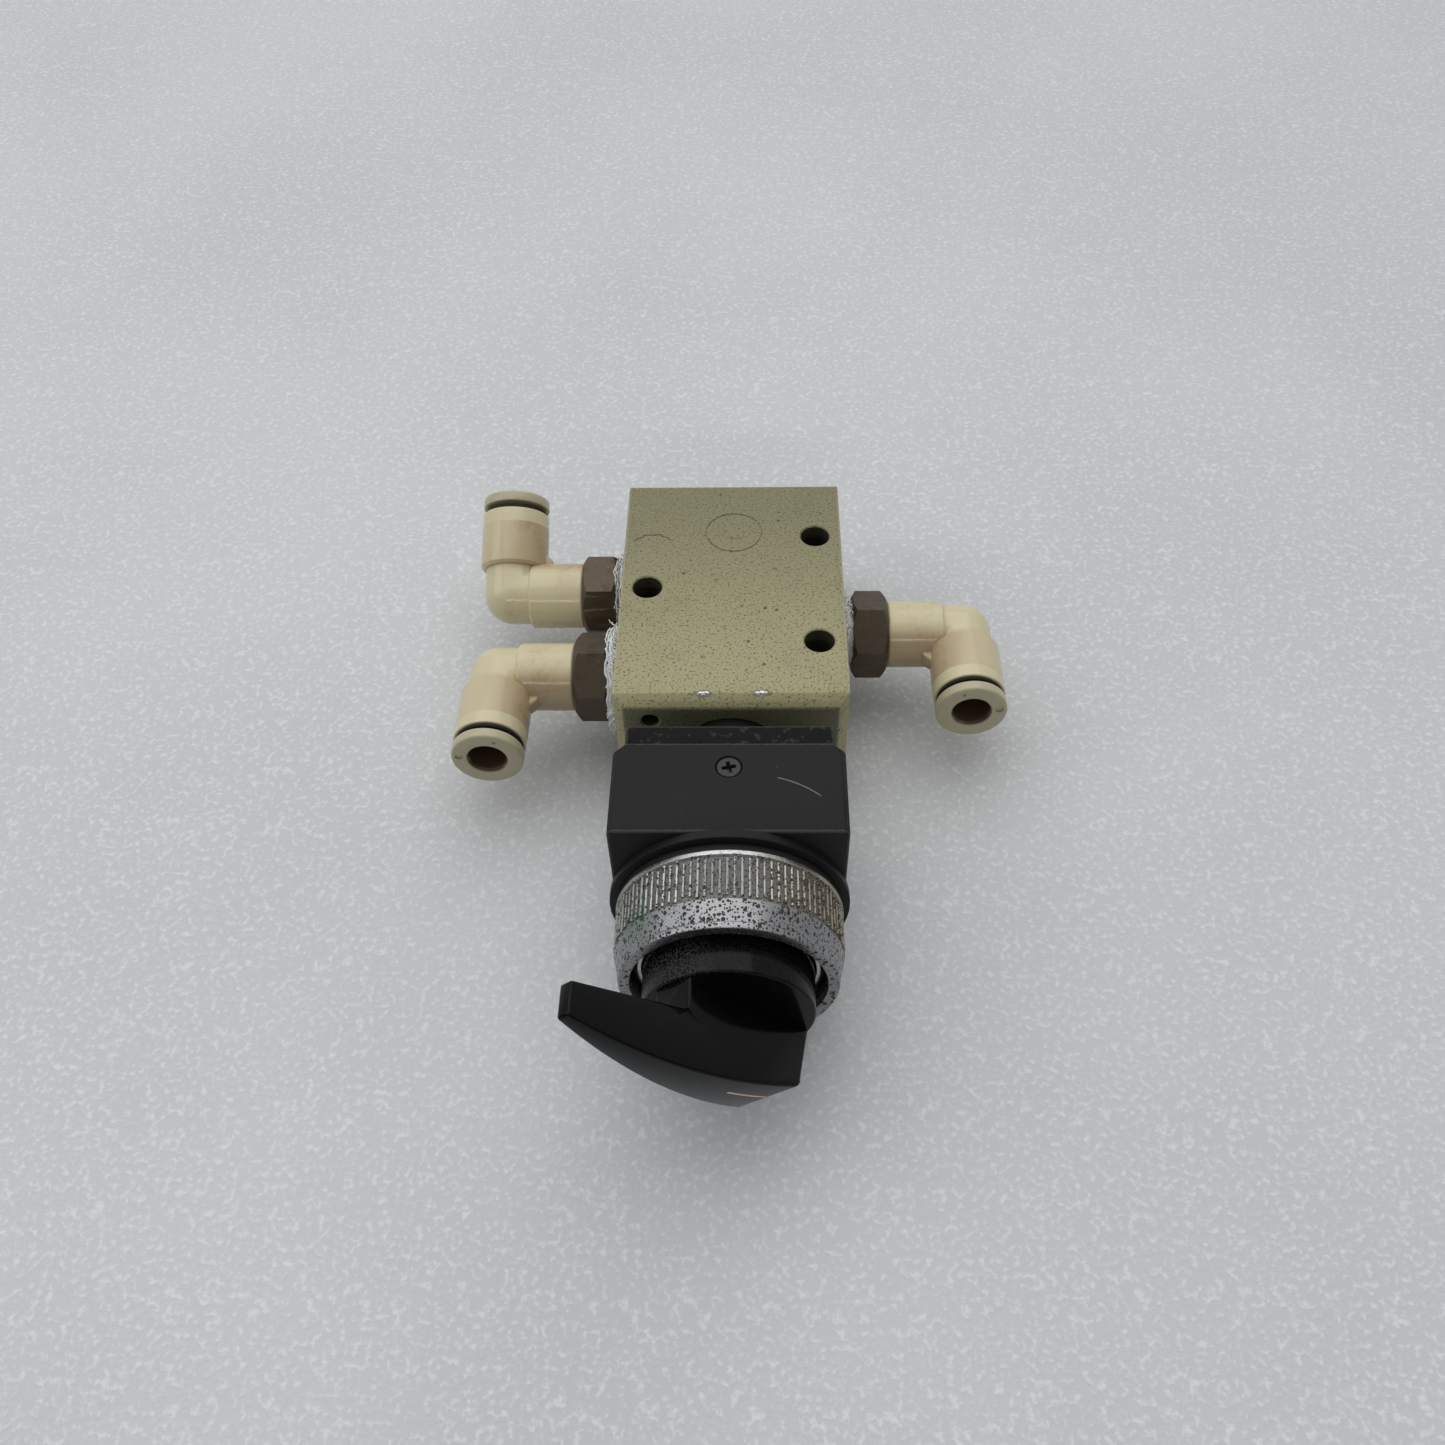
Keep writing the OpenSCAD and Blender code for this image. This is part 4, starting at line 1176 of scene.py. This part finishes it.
# %% [markdown]
# The knob is a round hub with a lever across its front. The lever is what three shapes share: its
# side view with a bowed front edge, its front view that thins towards the tip, and a cone that
# rounds off the short end. It gets its soft edges first and is then joined to the hub, so the
# corner between the two stays sharp, as it does in the moulding.

# %% Knob: the lever
KNOB_ANGLE = 50
KNOB = Matrix.Translation((0, 0, axis_z)) @ Matrix.Rotation(radians(180 + KNOB_ANGLE), 4, "Y")
HUB = 13.1
HUB_RADIUS = HUB * MM
hub_front = nut_front - 4.9 * MM
overhang = hub_front - 5 * MM
REACH, SHORT_END = 32.4 * MM, 12 * MM
BOW_RADIUS, BOW_CENTRE_U = 91 * MM, 19.5 * MM
bow_crest = overhang - 9.25 * MM
HALF_MIDDLE, HALF_TIP = 4.8 * MM, 1.1 * MM
tail_half = HALF_MIDDLE + (HALF_MIDDLE - HALF_TIP) * SHORT_END / REACH


def bow(u):
    """How far forward the lever's bowed front edge is at u."""
    return bow_crest + BOW_RADIUS - sqrt(BOW_RADIUS ** 2 - (u - BOW_CENTRE_U) ** 2)


CORNER_U = -8.8 * MM
front_edge = [(u, bow(u)) for u in (REACH + (CORNER_U - REACH) * k / 60 for k in range(61))]
rounded_corner = [(CORNER_U + du * MM, bow(CORNER_U) + dy * MM)
                  for du, dy in ((-0.6, 0.4), (-1.15, 1.0), (-1.6, 1.9), (-1.85, 3.0))]
side_view = front_edge + rounded_corner + [(-SHORT_END, hub_front + MM),
                                           (HUB_RADIUS - 0.9 * MM, hub_front + MM),
                                           (HUB_RADIUS - 0.9 * MM, overhang),
                                           (REACH, overhang - 3.3 * MM)]
lever = prism(side_view, 16 * MM, Matrix.Identity(4))
front_view = [(REACH, HALF_TIP), (-SHORT_END, tail_half), (-SHORT_END, -tail_half),
              (REACH, -HALF_TIP)]
stand_up = Matrix.Translation((0, (bow_crest + hub_front) / 2, 0)) @ Matrix.Rotation(radians(90), 4,
                                                                                     "X")
lever = combine(lever, prism(front_view, 30 * MM, stand_up), "INTERSECT")
rounder = rod(HUB_RADIUS, (0, hub_front + MM, 0), (0, hub_front - 15 * MM, 0),
              radius_end=HUB_RADIUS - 3.2 * MM, turns=160)
rounder = combine(rounder, box((0, bow_crest - MM, -8 * MM), (40 * MM, hub_front + MM, 8 * MM)),
                  "UNION")
lever = combine(lever, rounder, "INTERSECT")
lever = soften(lever, 0.4 * MM, 3, 24, join=0.06 * MM, clamp=False)

# %% Knob: the hub, the groove for the inlay, and the inlay
knob_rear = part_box("knob_lever")[1].y
hub = turned("hub", along([(hub_front, 0), (hub_front, HUB), (knob_rear - 3.3 * MM, HUB),
                           (knob_rear - 3.3 * MM, 12.15), (knob_rear - 1.9 * MM, 12.15),
                           (knob_rear - 1.9 * MM, HUB), (knob_rear, HUB), (knob_rear, 5),
                           (knob_rear - 8.8 * MM, 5), (knob_rear - 8.8 * MM, 0)]),
             AXIS, fillet=0.45 * MM, turns=160)
lever.data.transform(KNOB)
knob = combine(hub, lever, "UNION")
INLAY_LENGTH, INLAY_HALF = 8.6 * MM, 0.3 * MM


def inlay_strip(depth, half_width, forward):
    steps = [-INLAY_LENGTH + INLAY_LENGTH * k / 16 for k in range(17)]
    strip = [(u, bow(u) - forward) for u in steps] + [(u, bow(u) + depth) for u in steps[::-1]]
    return prism(strip[::-1], 2 * half_width, KNOB)


knob = combine(knob, inlay_strip(0.5 * MM, INLAY_HALF, MM))
settle(shade(knob), "knob_lever", knob_black)
inlay = soften(inlay_strip(0.5 * MM, INLAY_HALF - 0.02 * MM, 0), 0.06 * MM)
settle(inlay, "pointer_inlay", inlay_cream)

# %% [markdown]
# The three fittings are the same article screwed into three ports, so each of their pieces is made
# once, in a frame of its own: x runs out of the block and y runs along the leg. A matrix then puts
# a copy at each port. The two left ports mirror that frame, which would turn the copies inside out,
# so their normals are flipped back.

# %% Fittings: frames for the three ports
HEX_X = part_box("tape_supply")[1].x
HEX_LENGTH = 6.3 * MM
ARM_X = HEX_X + HEX_LENGTH
LEG_TURN = {"supply": 180, "rear": 28, "front": 180}
HEX_TURN = {"supply": 40, "rear": 10, "front": 40}


def port_frame(port, turn=0):
    side = Matrix.Diagonal((PORT_SIDES[port], 1, 1, 1))
    spot = Matrix.Translation((0, port_y[port], axis_z))
    return side @ spot @ Matrix.Rotation(radians(turn), 4, "X")


def remember_place(piece):
    """Keeps each vertex's fitting coordinates, in millimetres, for the stains to follow."""
    kept = piece.data.attributes.new("port_place", "FLOAT_VECTOR", "POINT")
    for vertex, value in zip(piece.data.vertices, kept.data):
        value.vector = vertex.co / MM


def fit_out(pattern, node_stem, material, turns):
    """Puts a copy of a pattern piece at each port and removes the pattern."""
    remember_place(pattern)
    for port, turn in turns.items():
        piece = pattern.copy()
        piece.data = pattern.data.copy()
        bpy.context.scene.collection.objects.link(piece)
        frame_of_port = port_frame(port, turn)
        piece.data.transform(frame_of_port)
        if frame_of_port.determinant() < 0:
            piece.data.flip_normals()
        settle(piece, node_stem + "_" + port, material)
    bpy.data.objects.remove(pattern)


OUTWARDS = Matrix.Rotation(radians(90), 4, "Y")
LEG = Matrix.Translation((ELBOW_X, 0, 0)) @ Matrix.Rotation(radians(-90), 4, "X")

# %% [markdown]
# A stud's hexagon is a six-sided bar whose corners are turned down to a cone at both ends. That is
# a hexagonal prism cut by a turned shape, and the curved line where the two meet is what makes a
# nut look like a nut.

# %% Studs
HEX_ACROSS = 14 * MM
NECK = 4 * MM
hex_radius = HEX_ACROSS / sqrt(3)
hexagon = [(hex_radius * cos(pi / 3 * k + pi / 6), hex_radius * sin(pi / 3 * k + pi / 6))
           for k in range(6)]
stud = prism(hexagon, HEX_LENGTH, Matrix.Translation((HEX_X + HEX_LENGTH / 2, 0, 0)) @ OUTWARDS)
face_r = HEX_ACROSS / 2 - 0.05 * MM
rim = turned("rim", [(HEX_X - MM, 0), (HEX_X - MM, face_r - 0.8 * MM), (HEX_X, face_r),
                     (HEX_X + 0.75 * MM, hex_radius + 0.1 * MM),
                     (ARM_X - 1.1 * MM, hex_radius + 0.1 * MM), (ARM_X, face_r - 0.25 * MM),
                     (ARM_X + MM, face_r - MM), (ARM_X + MM, 0)], OUTWARDS, fillet=0)
stud = in_triangles(soften(combine(stud, rim, "INTERSECT"), 0.12 * MM))
thread = []
for k in range(8):
    at = HEX_X - (2.2 + k) * MM
    thread += [(at + 0.2 * MM, 4.82 * MM), (at - 0.25 * MM, 4.5 * MM), (at - 0.5 * MM, 4.5 * MM)]
barrel = turned("barrel", [(HEX_X + MM, 0), (HEX_X + MM, 4.82 * MM)] + thread +
                [(HEX_X - 10 * MM, 4.3 * MM), (HEX_X - 10 * MM, 0)], OUTWARDS, fillet=0.05 * MM)
neck = rod(NECK, (ARM_X - MM, 0, 0), (ARM_X + 7.1 * MM, 0, 0))
groove = turned("groove", [(ARM_X + 2.7 * MM, 3.2 * MM), (ARM_X + 2.7 * MM, 5 * MM),
                           (ARM_X + 3.9 * MM, 5 * MM), (ARM_X + 3.9 * MM, 3.2 * MM)], OUTWARDS,
                fillet=0)
neck = combine(neck, groove)
stud = combine(combine(stud, barrel, "UNION"), neck, "UNION")
stud = combine(stud, rod(2.3 * MM, (HEX_X - 12 * MM, 0, 0), (ARM_X + 8 * MM, 0, 0)))
fit_out(shade(stud), "stud", stud_metal, HEX_TURN)

# %% [markdown]
# An elbow is an arm over the stud's neck, a narrower round bend, and a leg that takes the tube. The
# steps where the arm and the leg end are sharp on the real fitting, so the solids are joined by
# booleans and the creases kept. A small web stiffens the inside of the corner.

# %% Elbows
ARM_RADIUS, BEND_RADIUS, LEG_RADIUS = 6.15 * MM, 5.4 * MM, 6.4 * MM
arm_start, arm_end = ARM_X + 0.1 * MM, ARM_X + 10.3 * MM
leg_start, body_end = 4.9 * MM, 15.9 * MM
elbow = turned("arm", [(arm_start, 0), (arm_start, 5.9 * MM), (arm_start + 0.3 * MM, ARM_RADIUS),
                       (arm_end - 0.35 * MM, ARM_RADIUS), (arm_end, 5.75 * MM), (arm_end, 0)],
               OUTWARDS, fillet=0.18 * MM)
leg = turned("leg", [(leg_start, 0), (leg_start, 5.85 * MM), (leg_start + 0.5 * MM, LEG_RADIUS),
                     (13.2 * MM, LEG_RADIUS), (13.35 * MM, LEG_RADIUS - 0.06 * MM),
                     (body_end, LEG_RADIUS - 0.06 * MM), (body_end, 0)], LEG, fillet=0.2 * MM)


def swept_bend(radius, start, end, turns=96, steps=24):
    """A round bar with a right-angled bend: a ball's curve outside, a mitre inside."""
    stations = [("arm", start)] + [("turn", pi / 2 * k / steps) for k in range(steps + 1)]
    rings = []
    for kind, value in stations + [("leg", end)]:
        ring = []
        for k in range(turns):
            angle = 2 * pi * (k + 0.5) / turns
            side, up = radius * cos(angle), radius * sin(angle)
            if kind == "arm":
                ring.append((value, -side, up))
            elif kind == "leg":
                ring.append((ELBOW_X + side, value, up))
            elif side > 0:
                ring.append((ELBOW_X + side * sin(value), -side * cos(value), up))
            else:
                ring.append((ELBOW_X + side, -side, up))
        rings.append(ring)
    bm = bmesh.new()
    made = [[bm.verts.new(p) for p in ring] for ring in rings]
    for near, far in zip(made, made[1:]):
        for k in range(turns):
            j = (k + 1) % turns
            bm.faces.new((near[k], near[j], far[j], far[k]))
    bm.faces.new(made[0])
    bm.faces.new(made[-1])
    bmesh.ops.remove_doubles(bm, verts=bm.verts, dist=1e-6)
    bmesh.ops.triangulate(bm, faces=bm.faces)
    return link_mesh("bend", bm)


bend = swept_bend(BEND_RADIUS, arm_end - MM, leg_start + MM)
web = [(ELBOW_X - 9.2 * MM, 0), (ELBOW_X, 0), (ELBOW_X, 8.2 * MM), (ELBOW_X - 6 * MM, 8.2 * MM),
       (ELBOW_X - 7.6 * MM, 6.7 * MM)]
web = in_triangles(soften(prism(web, 3 * MM, Matrix.Identity(4)), 0.5 * MM, 3))
for solid in (bend, leg, web):
    elbow = combine(elbow, solid, "UNION")
elbow = combine(elbow, rod(4.05 * MM, (ARM_X - MM, 0, 0), (ARM_X + 7.6 * MM, 0, 0)))
elbow = combine(elbow, rod(2.2 * MM, (ARM_X, 0, 0), (ELBOW_X, 0, 0)))
elbow = combine(elbow, ball(2.5 * MM, (ELBOW_X, 0, 0)))
bore = turned("bore",
              mm([(0, 0), (0, 2.4), (3, 2.4), (3, 3.15), (6.4, 3.15), (6.4, 4.7), (18, 4.7),
                  (18, 0)]), LEG, fillet=0)
elbow = combine(elbow, bore)
fit_out(shade(elbow), "elbow", ivory, LEG_TURN)

# %% [markdown]
# In the end of each leg sit a black guide ring, the teeth that hold the tube, and the release
# sleeve that a finger presses. The sleeve's face has a round moulding mark and a smaller dot. Its
# maker's lettering is left off.

# %% Guide rings, release sleeves, teeth
guide = turned("guide", [(11.6 * MM, 4.2 * MM), (11.6 * MM, 4.7 * MM), (body_end, 4.7 * MM),
                         (body_end, 5.95 * MM), (16.5 * MM, 5.95 * MM), (16.5 * MM, 4.2 * MM)],
               LEG, fillet=0.1 * MM)
fit_out(guide, "guide_ring", black_rubber, LEG_TURN)

FACE_START, FACE_END = 17.25 * MM, 19.25 * MM
sleeve_face = turned("release", [(12.2 * MM, 3.15 * MM), (12.2 * MM, 4.1 * MM),
                                 (FACE_START, 4.1 * MM), (FACE_START, 6.3 * MM, 0.25 * MM),
                                 (FACE_END, 6.3 * MM, 0.55 * MM),
                                 (FACE_END - 0.05 * MM, 3.6 * MM, 0.3 * MM),
                                 (FACE_END - 0.6 * MM, 3.15 * MM)], LEG, fillet=0.15 * MM)
for angle, radius, depth in ((352, 0.72, 0.35), (248, 0.3, 0.25)):
    spot = (ELBOW_X + 4.85 * MM * cos(radians(angle)), FACE_END, 4.85 * MM * sin(radians(angle)))
    sleeve_face = combine(sleeve_face, drill(radius * MM, spot, (0, 1, 0), depth * MM, 0.06 * MM))
fit_out(shade(sleeve_face), "release", shade_darkened_ivory, LEG_TURN)

teeth = turned("teeth", mm([(9, 4.2), (9, 4.6), (11.4, 4.6), (11.4, 4.2)]), Matrix.Identity(4),
               fillet=0.05 * MM)
teeth = grow(teeth, RIDGE_RING, {"Count": 14, "Ring radius": 3.95 * MM, "Ridge width": 1.1 * MM,
                                 "Ridge length": 1.7 * MM, "Ridge height": 0.14 * MM,
                                 "Start": 10.2 * MM, "Lean": 0.45, "Wear": 0.0, "Seed": 1,
                                 "Finish": bright_steel})
teeth.data.transform(LEG)
fit_out(shade(teeth), "chuck", bright_steel, LEG_TURN)

# %% [markdown]
# White tape seals the threads, and its torn end has frayed into fibres that fill the gap beside
# each hexagon. Fibres follow a path with a lot of chance in it, so Geometry Nodes wind many thin
# loops round the thread, tilt and crumple each one, and add short loose ends that stick out. The
# seed is fixed. One port has a thick tuft, one a thin film, and one only a few fibres.

# %% Geometry Nodes: frayed tape
TAPE_INPUTS = {"Loops": ("Int", 20), "Ends": ("Int", 30),
               "Inner radius": ("Float", 0.005),
               "Outer radius": ("Float", 0.0066),
               "Width": ("Float", 0.0016), "Fibre": ("Float", 0.00012),
               "Crumple": ("Float", 0.0012), "Seed": ("Int", 7),
               "Finish": ("Material", None)}


def build_frayed_tape():
    tree, given = new_growth("frayed tape", "Core", TAPE_INPUTS)

    def chance(low, high, shift, kind="FLOAT"):
        inputs = {0: low, 1: high} if kind == "FLOAT_VECTOR" else {2: low, 3: high}
        inputs["Seed"] = plus(tree, given["Seed"], float(shift))
        node = put(tree, "FunctionNodeRandomValue", inputs, data_type=kind)
        return node.outputs[0 if kind == "FLOAT_VECTOR" else 1]

    def crumpled(curve, amount, fineness):
        place = put(tree, "GeometryNodeInputPosition").outputs[0]
        swirl = put(tree, "ShaderNodeTexNoise", {"Vector": place, "Scale": fineness,
                                                 "Detail": 2.0}).outputs["Color"]
        centred = vector(tree, "SUBTRACT", swirl, (0.5, 0.5, 0.5))
        offset = vector(tree, "SCALE", centred, amount)
        return put(tree, "GeometryNodeSetPosition",
                   {"Geometry": curve, "Offset": offset}).outputs[0]

    spots = put(tree, "GeometryNodeMeshLine",
                {"Count": given["Loops"], "Offset": (0, 0, 0)}).outputs[0]
    shift = xyz(tree, z=times(tree, chance(0.1, 0.95, 1), given["Width"]))
    spots = put(tree, "GeometryNodeSetPosition", {"Geometry": spots, "Offset": shift}).outputs[0]
    loop = put(tree, "GeometryNodeCurvePrimitiveCircle",
               {"Resolution": 56, "Radius": 1.0}).outputs[0]
    size = chance(given["Inner radius"], given["Outer radius"], 2)
    size = xyz(tree, size, size, 1.0)
    tilt = chance((-0.07, -0.07, 0.0), (0.07, 0.07, 6.28), 3, "FLOAT_VECTOR")
    loops = put(tree, "GeometryNodeInstanceOnPoints",
                {"Points": spots, "Instance": loop, "Rotation": tilt, "Scale": size}).outputs[0]
    loops = put(tree, "GeometryNodeRealizeInstances", {0: loops}).outputs[0]
    loops = crumpled(loops, given["Crumple"], 620.0)

    roots = put(tree, "GeometryNodeMeshCircle", {"Vertices": given["Ends"],
                                                 "Radius": given["Outer radius"]}).outputs[0]
    strand = put(tree, "GeometryNodeCurvePrimitiveLine", {1: (0.0012, 0.0012, 0.0)}).outputs[0]
    strand = put(tree, "GeometryNodeResampleCurve", {"Curve": strand, "Count": 7}).outputs[0]
    facing = chance((-0.9, -0.9, 0.0), (0.9, 0.9, 6.28), 4, "FLOAT_VECTOR")
    ends = put(tree, "GeometryNodeInstanceOnPoints",
               {"Points": roots, "Instance": strand, "Rotation": facing,
                "Scale": xyz(tree, chance(0.4, 1.3, 5), 1.0, 1.0)}).outputs[0]
    ends = put(tree, "GeometryNodeRealizeInstances", {0: ends}).outputs[0]
    middle = xyz(tree, z=times(tree, given["Width"], 0.4))
    ends = put(tree, "GeometryNodeSetPosition", {"Geometry": ends, "Offset": middle}).outputs[0]
    ends = crumpled(ends, given["Crumple"], 1500.0)

    joined = join_geometry(tree, ends, loops)
    profile = put(tree, "GeometryNodeCurvePrimitiveCircle",
                  {"Resolution": 5, "Radius": given["Fibre"]}).outputs[0]
    fibres = put(tree, "GeometryNodeCurveToMesh",
                 {"Curve": joined, "Profile Curve": profile, "Fill Caps": True}).outputs[0]
    all_of_it = join_geometry(tree, fibres, given["Core"])
    plain = put(tree, "GeometryNodeRealizeInstances", {0: all_of_it}).outputs[0]
    finished = put(tree, "GeometryNodeSetMaterial",
                   {"Geometry": plain, "Material": given["Finish"]}).outputs[0]
    put(tree, "NodeGroupOutput", {0: finished})
    return tree


FRAYED_TAPE = build_frayed_tape()

# %% Tape at each port
tape_amount = {"supply": (9, 16, 6.2 * MM), "rear": (22, 20, 7.2 * MM),
               "front": (80, 170, 8.9 * MM)}
for seed, (port, (loops, ends, reach)) in enumerate(tape_amount.items()):
    core = turned("core", [(block_hi.x, 4.86 * MM), (block_hi.x, 5.3 * MM), (HEX_X, 5.2 * MM),
                           (HEX_X, 4.86 * MM)], Matrix.Identity(4), fillet=0.1 * MM)
    core.data.transform(Matrix.Translation((0, 0, -block_hi.x)))
    tape = grow(core, FRAYED_TAPE, {"Loops": loops, "Ends": ends, "Inner radius": 5.1 * MM,
                                    "Outer radius": reach, "Width": HEX_X - block_hi.x,
                                    "Fibre": 0.11 * MM, "Crumple": 2.0 * MM, "Seed": 7 + seed,
                                    "Finish": tape_white})
    out = port_frame(port) @ Matrix.Translation((block_hi.x, 0, 0)) @ OUTWARDS
    tape.data.transform(out)
    if out.determinant() < 0:
        tape.data.flip_normals()
    settle(shade(tape), "tape_" + port, tape_white)

# %% [markdown]
# The return spring sits between the spool and the rear plug. The spool moves back when the knob
# turns, so a rigid spring would run into it. This one is a copy of the CAD shape.

# %% The return spring, copied from the CAD
spring_node = nodes["return_spring"]
spring = bpy.data.objects.new("spring", spring_node.data.copy())
bpy.context.scene.collection.objects.link(spring)
spring.data.transform(spring_node.matrix_world)
settle(shade(spring), "return_spring", bright_steel)
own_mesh(spring)

# %% [markdown]
# The remaining parts are inside: the spool, its seals, the shaft, the cam, the pushrod and the
# detent spring. Their CAD shapes are right as they are, so they only get their finishes.

# %% Inner parts keep their CAD shapes
kept = []
for name, part in nodes.items():
    if not part.hide_render:
        for slot in part.material_slots:
            slot.material = material_of[slot_of[name]]
        kept.append(name)
print("kept from the CAD:", sorted(kept))

# %% [markdown]
# The floor is a pale, slightly sparkling sheet. It only has to catch soft shadows and bounce light
# up under the valve, so its pattern is faint.

# %% Floor finish
def make_floor_finish():
    material, tree, shader, place = new_material("pale_floor", roughness=0.55)
    cloud = noise(tree, place, 9.0, 4.0)
    spark = noise(tree, place, 1000.0, 3.0)
    colour = mix_colour(tree, step_up(tree, cloud, 0.3, 0.7), (0.60, 0.612, 0.625, 1),
                        (0.65, 0.658, 0.666, 1))
    colour = tinted(tree, step_up(tree, spark, 0.48, 0.72), 0.6, colour, (0.86, 0.87, 0.88, 1))
    tree.links.new(colour, shader.inputs["Base Color"])
    bump(tree, shader, spark, 0.0003, 0.5)
    return material


floor.data.materials.append(make_floor_finish())
